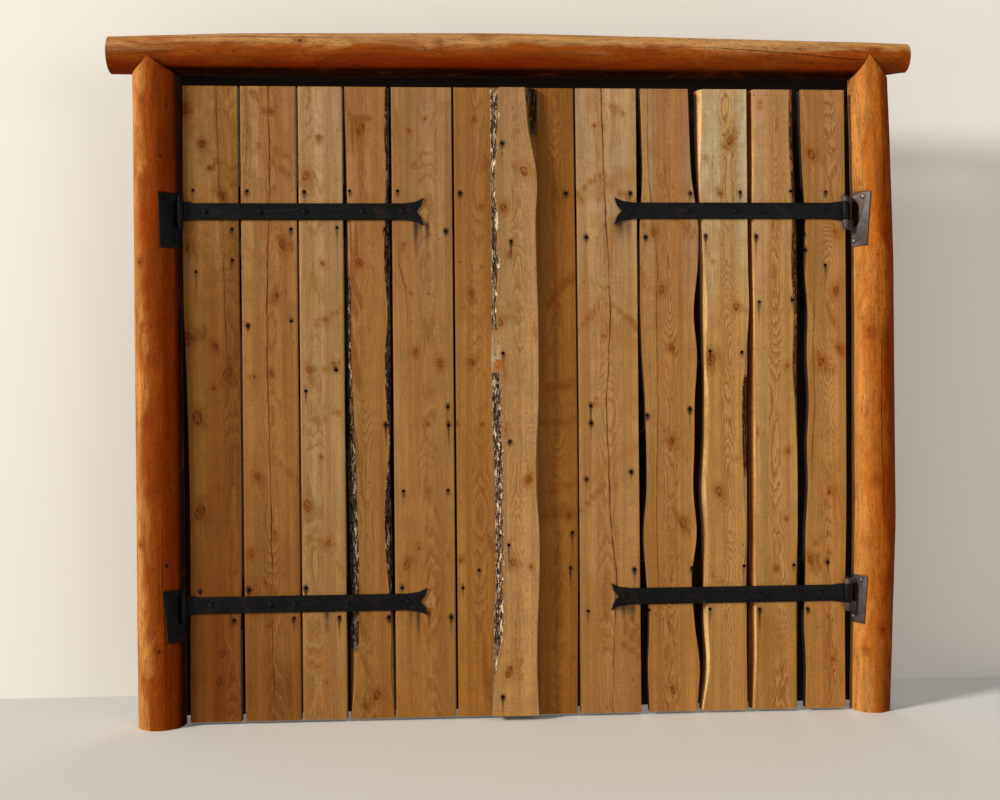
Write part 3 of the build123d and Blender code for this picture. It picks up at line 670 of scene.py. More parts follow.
def strokes(x, z, rows, seed):
    # how far each point lies inside the strokes, 0 to 1: three lines that fan out, and a haze
    inside = np.zeros(len(x))
    for i, (x0, z0, x1, z1, width, strength) in enumerate(rows):
        dx, dz = x1 - x0, z1 - z0
        length = math.hypot(dx, dz) + 1
        t = np.clip(((x - x0) * dx + (z - z0) * dz) / length**2, 0, 1)
        past = np.hypot(x - x0 - t * dx, z - z0 - t * dz)
        side = ((z - z0) * dx - (x - x0) * dz) / length
        sway = 0.35 * width * np.sin(3.1 * t + i) + 0.2 * width * wander(seed + i, z + x * 0.7, 34.0)
        haze = 0.4 * strength * np.exp(-((past / (0.8 * width)) ** 2))
        inside = np.maximum(inside, haze)
        for k in (-1, 0, 1):
            line = side - sway - k * (0.5 * width + 4) * (0.2 + t)
            thick = max(boardMarks["thinnest"], 0.2 * width)
            thick = thick * (0.6 + 0.6 * np.sin(np.pi * np.clip(t, 0.1, 0.9)))
            over = np.maximum(past - width, 0) / 6
            drawn = np.exp(-((line / thick) ** 2) - over)
            inside = np.maximum(inside, strength * (1 - 0.25 * abs(k)) * drawn)
    return inside


def nearestCrack(rows, along, wobble, gapTo):
    # signed distance to the nearest crack, which closes beyond its ends
    nearest = np.full(len(along), noCrack)
    for row in rows:
        row = np.array(sorted(row), float)
        gap = gapTo(np.interp(along, row[:, 0], row[:, 1]) + wobble)
        past = np.maximum(np.maximum(row[0, 0] - along, along - row[-1, 0]), 0)
        gap = gap + np.sign(gap) * past * 0.06
        nearest = np.where(abs(gap) < abs(nearest), gap, nearest)
    return nearest


def boardFields(board, look, across, depth, co, edge):
    # what the finish needs to know at each point: knots, grain, stains, cracks, bark and marks
    x, z = co[:, 0] / mm, co[:, 2] / mm
    seed = look["seed"]
    knot, push, stain = np.full(len(x), noKnot), np.zeros(len(x)), np.zeros(len(x))
    for i, (kx, kz, radius) in enumerate(look["knots"]):
        lean = 0.3 * math.sin(i * 2.3 + seed)
        dx, dz = (x - kx) + lean * (z - kz), (z - kz) * (0.78 + 0.14 * math.sin(i * 1.7 + seed))
        away = np.hypot(dx, dz)
        knot = np.minimum(knot, away / (radius * 0.95))
        push -= dx * 0.95 * np.exp(-((dx / (2.3 * radius)) ** 2) - (dz / (4.2 * radius)) ** 2)
    wide, shortest, longer = boardMarks["nailRun"]
    marks = [(nx, nz - 2, wide, shortest + longer * ((i * 7 + seed) % 4), 0.5 + 0.12 * (i % 3))
             for i, (nx, nz) in enumerate(look["nails"])]
    for sx, sz, width, length, strength in marks + runs:
        if abs(sx - x.mean()) > boardMarks["reach"]:
            continue
        down = (sz - z) / length
        share = np.clip(1 - down, 0, 1) ** 1.1 * np.clip(1 + down * 12, 0, 1)
        sway = boardMarks["runSway"] * wander(sx * 0.37, z, 70.0)
        reach = 0.5 * width * (0.55 + 0.45 * share)
        side = np.exp(-(((x - sx - sway * np.clip(down, 0, 1)) / reach) ** 2))
        stain = np.maximum(stain, strength * share * side)
    for nx, nz in look["nails"]:
        away = np.hypot(x - nx, z - nz + 2) / boardMarks["nailSpot"]
        stain = np.maximum(stain, 0.9 * np.exp(-(away**2)))
    cracks = [[(cz, cx) for cx, cz in row] for row in look.get("cracks", ())]
    wobble = 7 * wander(seed + 40, z, 70.0) + 3 * wander(seed + 50, z, 18.0)
    crack = nearestCrack(cracks, z, wobble, lambda line: x - line)
    face, rear = depth < boardMesh["flush"], depth > 1 - boardMesh["flush"]
    rim = np.minimum(co[:, 0] - edge[0], edge[1] - co[:, 0]) / mm
    leftCover, rightCover = (barkCover(look, side, co[:, 2]) for side in ("left", "right"))
    cover = np.where(across < 0.5, leftCover, rightCover)
    reach = look.get("barkReach", 5.0)
    cover = np.where(rear, 0.0, np.where(face, np.clip(cover - rim / reach, 0, 1), cover))
    growth = strokes(x, z, look.get("growth", ()), seed)
    torn = strokes(x, z, look.get("torn", ()), seed + 60)
    for cx, cz, radius in look.get("scorch", ()):  # pale patch and brown rim by a strap's tip
        away = np.hypot(x - cx, z - cz)
        growth = np.maximum(growth, 0.42 * np.exp(-(((away - radius) / 6) ** 2)) * (x > cx + 12))
        torn = np.maximum(torn, 0.5 * (away < radius - 4) * (x > cx))
    knot = np.where(face | ("bark" in look) & ~rear, knot, noKnot)
    setField(board, "marks", [knot, push, np.where(face, stain, 0.0)])
    setField(board, "edges", [np.where(face, crack, noCrack), cover, np.where(face, 0.0, depth)])
    setField(board, "hues", [np.where(face, growth, 0.0), np.where(face, torn, 0.0), across])


barkLooks = {  # deep, mid and pale
    "flecked": ((30, 18, 10), (124, 94, 62), (232, 212, 178)),
    "mixed": ((34, 20, 12), (88, 56, 34), (190, 172, 146)),
    "dark": ((20, 12, 8), (48, 30, 20), (86, 66, 50)),
    "red": ((50, 24, 12), (112, 60, 30), (150, 96, 58)),
}
boardGrain = {  # squeeze across, shares of the seed, stretch along, scale, detail, roughness, limits
    "prominence": (3, 1, 1, 2.4, 2, 0.5, 0.3, 0.55),
    "fibre": (1, 1, 0.1, 260, 3, 0.65, 0.28, 0.72),
    "speckle": (1, 1, 0.55, 170, 3, 0.7, 0.32, 0.68),
    "streak": (1, 1, 0.02, 80, 3, 0.6, 0.28, 0.72),
    "broad": (1, 2, 0.03, 20, 2, 0.5, 0.42, 0.58),
    "narrow": (1, 3, 0.016, 48, 2, 0.5, 0.38, 0.62),
    "patch": (1.6, 1, 0.6, 4.2, 4, 0.6, 0.36, 0.62),
    "saw": (4, 1, 62, 3, 3, 0.65, 0.3, 0.7),
    "flecks": (1, 1, 0.35, 170, 2, 0.5, 0.56, 0.66),
    "pins": (1, 1, 0.8, 62, 1, 0.5, 0.735, 0.765),
}
boardTones = {  # the board's own red, green and blue times these
    "pale": (1.24, 1.32, 1.45), "deep": (0.58, 0.42, 0.22), "warm": (0.84, 0.68, 0.42),
    "dull": (0.76, 0.74, 0.68), "rosy": (1.12, 0.98, 0.92), "resin": (0.58, 0.38, 0.18),
    "knotTone": (0.74, 0.45, 0.18), "knotLine": (0.32, 0.16, 0.07),
}


def boardFinish(name, node, look):
    low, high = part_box(node)
    made = Finish(name)
    x, y, z = made.split(made.place())
    knot, push, stain = made.field("marks")
    crack, cover, flank = made.field("edges")
    growth, torn, across = made.field("hues")
    seed = look["seed"] * 3.7
    wood = paint(*look["wood"])
    prominence, fibre, speckle, streak, broad, narrow, patch, saw, flecks, pins = (
        made.rise(made.cloud(made.vector(x * squeeze + seed * shift, y, z * stretch), *kind), least, most)
        for squeeze, shift, stretch, *kind, least, most in boardGrain.values())
    cloudy = made.rise(made.cloud(made.vector(x * 1.3 + seed, y + 3, z), 11.0, 4.0, 0.6, 0.8), 0.4, 0.64)
    ripple = made.cloud(made.vector(x + seed, y, z * 0.8), 75.0, 3.0, 0.6)
    waver = made.cloud(made.vector(x + seed, y, z * 0.06), 42.0, 3.0, 0.6)
    shiver = made.cloud(made.vector(x * 1.4 + seed, y, z * 0.5), 60.0, 2.0)
    pale, deep, warm, dull, rosy, resin, knotTone, knotLine = (
        toned(wood, shares) for shares in boardTones.values())

    # growth rings round a pith that wanders along the board, and drifts up or down to the face
    tilt = 26 if look["seed"] % 2 else -26
    aside, behind = look["heart"]
    heartX = made.cloud(made.vector(seed, 0.0, z), 1.3, 1.0) * 60 + (aside - 30)
    heartY = made.cloud(made.vector(0.0, seed, z), 2.2, 1.0) * 90 + (behind - 35) + (z - 1.2) * tilt
    u = (x - (low.x + high.x) / 2) * 1000 + push - heartX
    v = (y - low.y) * 1000 - heartY
    radius = made.maths("SQRT", u * u + v * v) + waver * 12 + shiver * 3.5 + growth * 30
    phase = made.maths("FRACT", radius / look.get("ringGap", 6.5))
    late = phase * phase * phase
    early = made.rise(phase, 0.25, 0.6) * made.fall(phase, 0.6, 0.8)
    central = made.fall(made.apart(u), 14.0, 48.0)
    contrast = (0.18 + central * prominence * 0.82) * look.get("rings", 1.0)
    colour = made.coats(
        paint(*look["foot"]),
        (wood, made.rise(z, 0.1, 1.25)),
        (paint(*look["head"]), made.rise(z, 1.3, 2.3)),
        (pale, patch * 0.34),
        (rosy, made.fall(radius, 46.0, 88.0) * 0.5),
        (warm, broad * 0.5),
        0.90 + narrow * 0.21,
        (dull, cloudy * 0.46),
        (deep, late * contrast * 0.62),
        (pale, early * contrast * 0.4),
        0.94 + streak * 0.13,
        0.955 + fibre * 0.09,
        0.92 + speckle * 0.16,
        1.04 - saw * (0.075 * look.get("saw", 1.0)))
    for height, lean in look.get("bands", ()):  # curved marks of the mill
        bow = made.cloud(made.vector(x, seed, z), 4.0) * 0.03
        arc = z - height * mm - (x - low.x) * lean - bow
        colour = made.blend(colour, warm, made.rise(arc, -0.05, 0.0) * made.fall(arc, 0.01, 0.06) * 0.42)

    # torn grain, growth marks, knots, stains and cracks
    swirl = made.rise(made.maths("FRACT", (radius + growth * 50 + ripple * 26) / 12), 0.3, 0.85)
    edge = knot + (ripple - 0.5) * 0.7
    halo, core, heart = made.fall(edge, 0.9, 3.2), made.fall(edge, 0.8, 1.15), made.fall(edge, 0.1, 0.55)
    turns = made.rise(made.maths("SINE", edge * 13 + ripple * 6), 0.1, 0.9)
    rim = made.rise(edge, 0.62, 0.86) * made.fall(edge, 0.92, 1.2) * made.rise(ripple, 0.38, 0.6)
    split = made.apart(crack + (waver - 0.5) * 4 + (shiver - 0.5) * 4)
    gape = made.rise(made.cloud(made.vector(seed, x * 2, z), 9.0, 3.0, 0.7), 0.3, 0.62)
    crevice = made.fall(split, 0.5, 1.3 + gape * 2.4) * (0.5 + gape * 0.5)
    colour = made.coats(
        colour,
        (pale, made.rise(torn + (ripple - 0.5) * 0.5, 0.18, 0.5) * 0.62),
        (deep, torn * flecks * 0.75),
        (warm, made.rise(growth, 0.0, 0.3) * 0.4),
        (resin, made.rise(growth * (0.5 + ripple), 0.08, 0.48) * (0.36 + swirl * 0.6)),
        (knotLine, pins * 0.5),
        (made.blend(knotTone, resin, cloudy * 0.6), halo * (0.42 + cloudy * 0.3)),
        (knotTone, core * 0.9),
        (knotLine, core * turns * 0.55),
        (knotLine, rim * 0.85),
        (knotLine, heart * 0.9),
        (paint(40, 27, 18), made.rise(stain * (0.7 + streak * 0.6), 0.02, 0.7) * 0.92),
        (warm, made.fall(split, 1.0, 10.0) * 0.4),
        (paint(50, 24, 10), crevice * look.get("crackDark", 0.5)),
        (deep, made.fall(across * (1 - across), 0.003, 0.016) * 0.35))
    height = late * contrast * 0.8 + fibre * 0.4 + speckle * 0.4 + streak * 0.3 - crevice * 3.0
    height = height - saw * (0.3 * look.get("saw", 1.0)) - rim * 0.4 + torn * flecks * -1.5
    rough = 0.66 + streak * 0.12

    # a waney edge shows the log's own outside, and a sawn one is painted dark, as dirt and as the shade in
    # the gaps between boards
    if isWaned(look):
        bare = paint(*look.get("wane", (186, 138, 80)))
        dark, mid, light = (paint(*tone) for tone in barkLooks[look.get("barkLook", "dark")])
        # painted shade: the right-hand flank, turned from the light, is coloured darker in its bare wood
        # and its bark
        if "barkRightShaded" in look:
            shadedRightHand = made.rise(across, 0.45, 0.55)
            bare = made.blend(bare, paint(104, 66, 34), shadedRightHand)
            dark, mid, light = (made.blend(tone, paint(*other), shadedRightHand)
                                for tone, other in zip((dark, mid, light), barkLooks[look["barkRightShaded"]]))
        scale = made.cloud(made.vector(x * 1.5, y * 1.5, z * 0.45), 44.0, 4.0, 0.66, 0.7)
        ridge = made.cloud(made.vector(x * 1.3, y * 1.3, z * 0.42), 80.0, 4.0, 0.66, 0.6)
        grit = made.cloud(made.vector(x * 1.5, y * 1.5, z), 260.0, 3.0, 0.65)
        fissure = made.fall(made.apart(scale, 0.49), 0.026, 0.09)
        # painted shade: the wane darkens deeper in the gap, from this share of the depth on
        turn = look.get("waneShadeFrom", 0.6) + (patch - 0.5) * 0.1
        on = made.rise(cover + (grit - 0.5) * 0.3 + (scale - 0.5) * 0.4, 0.36, 0.5)
        bare = made.coats(
            bare,
            (warm, patch * 0.7),
            0.72 + streak * 0.38,
            (paint(116, 54, 15), made.rise(flank - turn, -0.06, 0.12) * 0.9),
            (paint(70, 44, 26), flecks * 0.35 + swirl * 0.15))
        if "inner" in look:  # curls in the torn wood, and only the inner bark next to the face
            bare = made.blend(bare, paint(66, 48, 36), made.fall(made.apart(scale, 0.5), 0.012, 0.04) * 0.6)
            inner = look["inner"]
            on = on * made.rise(flank + (scale - 0.5) * 1.1, inner - 0.1, inner + 0.08)
        bare = made.coats(bare, (knotTone, core), (knotLine, core * turns * 0.6))
        bark = made.coats(
            mid,
            (light, made.rise(ridge + (grit - 0.5) * 0.5, 0.44, 0.62)),
            (mid, made.rise(1 - scale, 0.44, 0.6) * 0.6),
            (dark, fissure),
            0.7 + speckle * 0.5)
        skin = made.shade(made.blend(mid, warm, 0.55), 0.62 + ripple * 0.5)
        colour = made.coats(
            colour,
            (bare, made.rise(flank, 0.07, 0.12) * made.fall(flank, 0.98, 0.999)),
            (skin, made.rise(cover + (scale - 0.5) * 0.4, 0.1, 0.3) * 0.8),
            (bark, on))
        height = height + on * (ridge * 4 - fissure * 3 + grit * 1.5)
        rough = rough + on * 0.15
    else:
        sawnEdgeShade = made.rise(flank, 0.07, 0.2) * made.fall(flank, 0.97, 1.0)
        colour = made.blend(colour, paint(46, 28, 15), sawnEdgeShade)
    normal = made.bump(height, 0.0012, 0.75)
    return made.finish(colour, rough, normal, Specular_IOR_Level=0.14, Specular_Tint=(1.0, 0.82, 0.6, 1.0))


for node, look in boards.items():
    board, across, depth, co, edge = boardShape(node, look)
    boardFields(board, look, across, depth, co, edge)
    dress(board, boardFinish(plain(node) + "Pine", node, look), boardMesh["smooth"])
    body = "right_leaf" if node.startswith("right") else "left_leaf"
    slot = "dark_board" if node == "right_board_1" else "bark_board" if "bark" in look else "pine_board"
    handOver(board, body, slot, node)
print("boards done")


# Logs. The line's rows are (place along, centre, radius), knots are (turn from the side facing
# right or up, place along, radius) and checks rows of (place along, turn); a turn of 1.57 faces
# the front. The tones are painted light and shade: the side toward the light, the front and the
# side in shade.
logs = {
    "left_post": {
        "axis": "z", "run": (-0.02, 2.66), "line": [(0, -1373, 91), (2692, -1373, 88)], "seed": 21,
        "litAndShadeTones": ((178, 117, 58), (126, 57, 10), (112, 40, 4)), "litShift": 0.0, "under": 1.0,
        "knots": [(1.2, 2160, 14), (1.9, 2060, 12), (1.9, 1930, 10), (2.2, 1760, 10), (1.75, 1690, 8),
                  (1.45, 1640, 9), (1.55, 1395, 13), (1.9, 1160, 15), (1.75, 900, 12), (2.3, 700, 11),
                  (1.1, 620, 14), (1.45, 300, 12), (4.4, 1900, 13), (5.2, 1300, 14), (3.9, 700, 12)],
        "checks": [[(1750, 2.5), (1350, 2.45), (1000, 2.55)], [(700, 1.3), (300, 1.2)],
                   [(2200, 4.6), (900, 4.8)]],
    },
    "right_post": {
        "axis": "z", "run": (-0.02, 2.66), "seed": 22,
        "litAndShadeTones": ((182, 120, 58), (160, 88, 27), (114, 44, 6)), "litShift": 0.0, "under": 0.0,
        "line": [(0, 1384, 78), (743, 1405, 83), (1793, 1405, 80), (2638, 1384, 76)],
        "knots": [(1.0, 1975, 10), (1.3, 1870, 11), (1.2, 1700, 9), (2.0, 1480, 12), (1.5, 1190, 11),
                  (1.8, 905, 12), (1.4, 330, 13), (2.2, 240, 9), (4.2, 1500, 13), (5.0, 800, 12)],
        "checks": [[(1480, 1.5), (1180, 1.55), (800, 1.45)], [(2300, 1.2), (2080, 1.25)],
                   [(1900, 4.7), (600, 4.6)]],
    },
    "lintel": {
        "axis": "x", "run": (-1.56, 1.56), "seed": 23,
        "litAndShadeTones": ((182, 134, 80), (132, 62, 13), (108, 34, 3)), "litShift": 0.12, "under": 1.0,
        "line": [(-1544, 2552, 70.1), (-1050, 2556.5, 81.5), (-63, 2563, 84.5), (1357, 2553.5, 71.5),
                 (1542, 2565, 54.9)],
        "knots": [(1.15, -820, 13), (1.9, -1180, 9), (1.25, -300, 10), (2.0, 60, 12), (1.35, 520, 11),
                  (1.75, 980, 9), (1.2, 1390, 10), (4.3, -500, 12), (4.9, 700, 12)],
        "checks": [[(-1380, 0.78), (-1000, 0.86), (-730, 0.95)], [(780, 1.3), (1050, 1.5), (1330, 1.8)],
                   [(-200, 0.7), (350, 0.72)], [(-900, 4.7), (900, 4.9)]],
    },
}
logMesh = {"sides": 96, "ringPitch": 16.0, "blank": 0.08, "shrink": 0.9925, "draws": 0.9, "sway": 0.7,
           "knotRise": 1.6, "deepest": 3, "skin": 82, "smooth": 32}
# How far the painted shade in the hinge plates' seats stops short of a seat's inner edge, and how softly it
# ends
seatShade = {"inset": 0.016, "soft": 0.004}


def logShape(node, look):
    # a round log inside its CAD solid, cut to that solid's saddle, seats and ends
    start, end = look["run"]
    along = 2 if look["axis"] == "z" else 0
    middle = [0, 0, 0]
    middle[along] = (start + end) / 2
    turned = (0, 0, 0) if along == 2 else (0, math.pi / 2, 0)
    bpy.ops.mesh.primitive_cylinder_add(vertices=logMesh["sides"], radius=logMesh["blank"],
                                        depth=end - start, location=middle, rotation=turned)
    log = settle(bpy.context.object, plain(node) + "Log")
    rings = round((end - start) / mm / logMesh["ringPitch"])
    cutEdges(log, lambda a, b: abs(a[along] - b[along]) > 0.5, rings)
    co = getPoints(log)
    s = co[:, along] / mm
    angle = np.arctan2(co[:, 1], co[:, 2 - along])
    line = np.array(look["line"], float)
    centre = np.interp(s, line[:, 0], line[:, 1])
    radius = np.interp(s, line[:, 0], line[:, 2]) * logMesh["shrink"]
    dent = np.zeros(len(co))
    for i, (h, a) in enumerate(zip(s, angle)):
        spot = Vector((math.cos(a) * 1.1, math.sin(a) * 1.1, h / 420 + look["seed"]))
        draw = noise.noise(Vector((math.cos(a) * 3.2, math.sin(a) * 3.2, h / 180 + look["seed"])))
        dent[i] = logMesh["sway"] * (noise.noise(spot) + 0.6) + logMesh["draws"] * (0.5 + draw)
    swell = np.exp(-np.minimum(knotDistance(look, angle, s), 6) ** 2 / 4)
    size = radius - np.clip(dent - swell * logMesh["knotRise"], 0, logMesh["deepest"])
    co[:, 2 - along] = (centre + size * np.cos(angle)) * mm
    co[:, 1] = size * np.sin(angle) * mm
    setPoints(log, co)
    solid = copyOf(node, "solidOf" + node)
    modify(log, "BOOLEAN", operation="INTERSECT", object=solid, solver="EXACT")
    bpy.data.objects.remove(solid)
    return log


def roundTheLog(turn):
    # the shortest way round the skin, in mm
    return np.angle(np.exp(1j * turn)) * logMesh["skin"]


def knotDistance(look, angle, s):
    # distance to the nearest knot in its own radii, over the log's skin
    nearest = np.full(len(s), noKnot)
    for a, h, size in look["knots"]:
        nearest = np.minimum(nearest, np.hypot(roundTheLog(angle + a), (s - h) * 0.8) / size)
    return nearest


def logFields(log, look):
    # what the finish needs to know at each point: knots and cracks
    co = getPoints(log)
    along = 2 if look["axis"] == "z" else 0
    s = co[:, along] / mm
    line = np.array(look["line"], float)
    across = co[:, 2 - along] / mm - np.interp(s, line[:, 0], line[:, 1])
    angle = np.arctan2(co[:, 1] / mm, across)
    wobble = 0.05 * wander(look["seed"], s, 90.0)
    crack = nearestCrack(look["checks"], s, wobble, lambda turn: roundTheLog(angle + turn))
    setField(log, "marks", [knotDistance(look, angle, s), crack, np.zeros(len(s))])


def logFinish(name, look, shadedSeats):
    made = Finish(name)
    x, y, z = made.split(made.place())
    knot, crack = made.field("marks")[:2]
    seed = look["seed"] * 1.7
    line = look["line"]
    middle = sum(row[1] for row in line) / len(line) * mm
    standing = look["axis"] == "z"
    across, along, towardLight = (x - middle, z, middle - x) if standing else (z - middle, x, z - middle)

    def stretched(share):
        return made.vector(across + seed, y, along * share)

    thin = stretched(0.09)
    streak = made.cloud(thin, 38.0, 4.0, 0.62, 0.4)
    fibre = made.rise(made.cloud(thin, 260.0, 3.0, 0.65), 0.25, 0.75)
    patch = made.rise(made.cloud(stretched(0.32), 11.0, 3.0, 0.6, 0.8), 0.34, 0.66)
    blotch = made.rise(made.cloud(stretched(0.55), 13.0, 4.0, 0.62, 0.5), 0.5, 0.72)
    speckle = made.rise(made.cloud(stretched(0.5), 150.0, 3.0, 0.7), 0.32, 0.68)
    pits = made.rise(made.cloud(stretched(0.3), 120.0, 3.0, 0.6), 0.56, 0.66)
    axial = made.maths("SQRT", across * across + y * y) * 1000
    rings = made.maths("FRACT", (axial + streak * 9) / 4.4)
    # painted light and shade: lighter on the side toward the light, darker on the other
    high = towardLight / (line[0][2] * mm)
    turned = high + (patch - 0.5) * 0.45 + (streak - 0.5) * 0.9 + look["litShift"]
    paintedLit, front, paintedShade = (paint(*tone) for tone in look["litAndShadeTones"])
    # painted shade: near black under the lintel and down the left post's flank by the doors, between the
    # posts only
    underside = made.fall(high, -0.96, -0.72) * look["under"]
    underside = underside * made.rise(x, -1.40, -1.31) * made.fall(x, 1.31, 1.40)
    edge = knot + (made.cloud(made.vector(x, y, z), 70.0) - 0.5) * 0.5
    halo, core = made.fall(edge, 0.8, 3.0), made.fall(edge, 0.3, 0.75)
    crevice = made.fall(made.apart(crack + (streak - 0.5) * 10), 0.3, 1.8)
    hair = made.apart(made.cloud(thin, 22.0, 2.0), 0.5)
    hairs = made.fall(hair, 0.0, 0.010) * made.rise(patch, 0.3, 0.8)
    colour = made.coats(
        paintedShade,
        (front, made.rise(turned, -0.75, 0.1)),
        (paintedLit, made.rise(turned, 0.1, 0.85)),
        (paint(30, 8, 2), underside),
        1.08 - made.rise(streak, 0.48, 0.64) * 0.26,
        (paint(112, 46, 8), blotch * 0.4),
        1 + made.rise(1 - streak, 0.48, 0.64) * 0.16,
        1 - rings * rings * rings * 0.10,
        0.92 + fibre * 0.16,
        0.90 + speckle * 0.20,
        (paint(84, 34, 8), pits * (0.1 + patch * 0.4)),
        (paint(116, 44, 12), halo * 0.6),
        (paint(34, 16, 8), core * 0.9),
        (paint(30, 13, 6), crevice * 0.92),
        (paint(64, 26, 8), hairs * 0.45))
    inset, soft = seatShade["inset"], seatShade["soft"]
    for low, high in shadedSeats:  # painted shade, near black, in the seats of the hinge plates
        start = low.x + (inset if name.startswith("left") else 0)
        end = high.x - (0 if name.startswith("left") else inset)
        inside = made.rise(x, start - soft, start + soft) * made.fall(x, end, end + 2 * soft)
        inside = inside * made.rise(z, low.z + 0.02, low.z + 0.03)
        inside = inside * made.fall(z, high.z - 0.03, high.z - 0.02)
        colour = made.blend(colour, paint(16, 11, 9), inside * made.fall(y, 0.0, 0.02) * 0.96)
    height = streak + fibre * 0.4 + speckle * 0.5 - core * 0.8 - crevice * 3.5 - hairs * 0.8 - pits * 0.8
    rough = 0.6 + streak * 0.16 + underside * 0.3
    normal = made.bump(height, 0.0014, 0.7)
    return made.finish(colour, rough, normal, Specular_IOR_Level=0.04, Specular_Tint=(1.0, 0.6, 0.28, 1.0))


for node, look in logs.items():
    log = logShape(node, look)
    logFields(log, look)
    side = node.split("_")[0]
    seats = [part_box(plate) for plate in (side + "_upper_hinge_plate", side + "_lower_hinge_plate")
             if plate in frame["nodes"]]
    dress(log, logFinish(plain(node) + "Oiled", look, seats), logMesh["smooth"])
    handOver(log, "frame", "log_wood", node)
    print(node, "faces", len(log.data.polygons))
print("logs done")


# Ledges and braces behind the boards
backBars = {
    "arris": 2.0, "smooth": 40, "braceRise": 1300, "braceRun": 830, "peg": (168, 126, 80),
    # painted shade: the bars' wood is kept darker than the boards', as in the shade behind them
    "wood": {"upper_ledge": (104, 66, 34), "lower_ledge": (98, 62, 32), "brace": (92, 58, 30)},
}


def barFinish(name, shade, angle, seed, front=None):
    # sawn pine whose grain runs along the bar
    made = Finish(name)
    turned = made.node("ShaderNodeMapping", None, made.place(), None, (0, angle, 0))
    along, y, across = made.split(turned)
    long = made.vector(along * 0.04, y, across + seed)
    waver = made.cloud(long, 30.0, 2.0)
    drift = made.cloud(made.vector(along, 0.0, seed), 1.8, 1.5)
    u = across * 1000 + drift * 160
    v = y * 1000 + 60
    radius = made.maths("SQRT", v * v + (waver - 0.5) * 1400 + made.maths("PINGPONG", u, 95.0) * 60)
    late = made.maths("FRACT", radius / 6.0)
    streak = made.cloud(made.vector(along * 0.02, y, across + seed), 90.0, 3.0)
    fibre = made.cloud(long, 380.0, 3.0, 0.6)
    saw = made.cloud(made.vector(along * 60, y, across * 4 + seed), 3.0, 2.0)
    wood = paint(*shade)
    colour = made.coats(wood, (toned(wood, (0.66, 0.5, 0.32)), late * late * 0.4),
                        0.84 + streak * 0.3, 0.93 + fibre * 0.14, 1.06 - saw * 0.12)
    if front is not None:  # painted shade and dust: dark where it lies against the boards
        colour = made.blend(paint(26, 15, 8), colour, made.rise(y, front + 0.020, front + 0.030))
    normal = made.bump(late * 0.3 + streak * 0.5 + fibre * 0.3 - saw * 0.5, 0.0012, 0.7)
    return made.finish(colour, 0.66 + streak * 0.2, normal, Specular_IOR_Level=0.0)


for i, side in enumerate(("left", "right")):
    for bar, shade in backBars["wood"].items():
        node = f"{side}_{bar}"
        piece = copyOf(node, f"{side}{plain(bar.title())}Bar")
        bevel(piece, backBars["arris"], limit_method="ANGLE")
        slope = math.atan2(backBars["braceRise"], backBars["braceRun"]) if bar == "brace" else 0.0
        slope = slope if side == "left" else -slope
        finish = barFinish(piece.name + "Pine", shade, slope, i * 5.1 + len(bar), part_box(node)[0].y)
        dress(piece, finish, backBars["smooth"])
        handOver(piece, side + "_leaf", "ledge_wood", node)
dress(frame["nodes"]["lintel_dowels"], barFinish("pegWood", backBars["peg"], math.pi / 2, 2.0))
print("back done")


# Strap hinges
hinges = {  # the strap's height, its bolts' distances from the pin, and the plate's turn in degrees
    "left_upper": {"height": 1954, "bolts": (92, 298, 468, 687, 836), "facing": 48.5},
    "left_lower": {"height": 458, "bolts": (100, 325, 417, 617, 849), "facing": 46.0},
    "right_upper": {"height": 1958, "bolts": (78, 316, 434, 619, 838), "facing": 38.0},
    "right_lower": {"height": 464, "bolts": (107, 318, 440, 665, 876), "facing": 28.0},
}
iron = {
    "pinX": {"left": -1280, "right": 1282}, "strapFront": -36, "ledgeBack": 47,
    "strapArris": 1.1, "plateArris": 0.9, "sharp": 0.6, "bandSmooth": 35, "smooth": 40,
    "head": (11, 5.4), "screw": (10.8, 5.8), "screwSunk": 6, "stem": (7, 7, 50),
    "nut": (19, 9, 19), "nutArris": 1.5, "tail": (9, 95, 9), "tailArris": 1.6, "tailPast": 12,
    "pinRadius": 6, "knob": (6.7, 9.0),
    "black": (9, 9, 10), "worn": (76, 68, 66), "heads": (92, 88, 86),
}


def ironFinish(name, colour, metallic, rough, rust, wear, shine=0.25):
    made = Finish(name)
    at = made.place()
    hammer = made.cloud(at, 55.0, 2.0, 0.5)
    grit = made.cloud(at, 420.0, 3.0, 0.6)
    patch = made.cloud(at, 16.0, 3.0, 0.6, 0.5)
    darker, lighter = (toned(paint(*colour), (k, k, k)) for k in (0.72, 1.35))
    shade = made.coats(
        darker,
        (lighter, made.rise(patch, 0.3, 0.7)),
        (paint(92, 52, 30), made.rise(patch + grit * 0.3, 0.74, 0.9) * rust),
        (paint(150, 146, 140), made.rise(grit + hammer * 0.4, 0.84, 0.98) * wear))
    normal = made.bump(hammer + grit * 0.35, 0.0012, 0.6)
    return made.finish(shade, rough - 0.08 + grit * 0.2, normal, Metallic=metallic,
                       Specular_IOR_Level=shine)


blackIron = ironFinish("blackIron", iron["black"], 0.15, 0.52, 0.12, 0.16, 0.14)
wornIron = ironFinish("wornIron", iron["worn"], 0.55, 0.5, 0.5, 0.35)
headSteel = ironFinish("headSteel", iron["heads"], 0.8, 0.38, 0.2, 0.6)


def dome(radius, height):
    # a hammered round head on the plane z = 0, a little flat on top
    bpy.ops.mesh.primitive_uv_sphere_add(segments=24, ring_count=16, radius=radius * mm)
    head = bpy.context.object
    pick(head)
    bpy.ops.object.mode_set(mode="EDIT")
    bpy.ops.mesh.select_all(action="SELECT")
    bpy.ops.mesh.bisect(plane_co=(0, 0, 0), plane_no=(0, 0, 1), clear_inner=True, use_fill=True)
    bpy.ops.object.mode_set(mode="OBJECT")
    co = getPoints(head)
    rise = np.clip(co[:, 2] / (radius * mm), 0, 1)
    co[:, 2] = height * mm * (1 - (1 - rise) ** 1.5)
    setPoints(head, co)
    return head


def block(size, y=0):
    bpy.ops.mesh.primitive_cube_add(size=1, location=(0, y * mm, 0), scale=[c * mm for c in size])
    return bpy.context.object


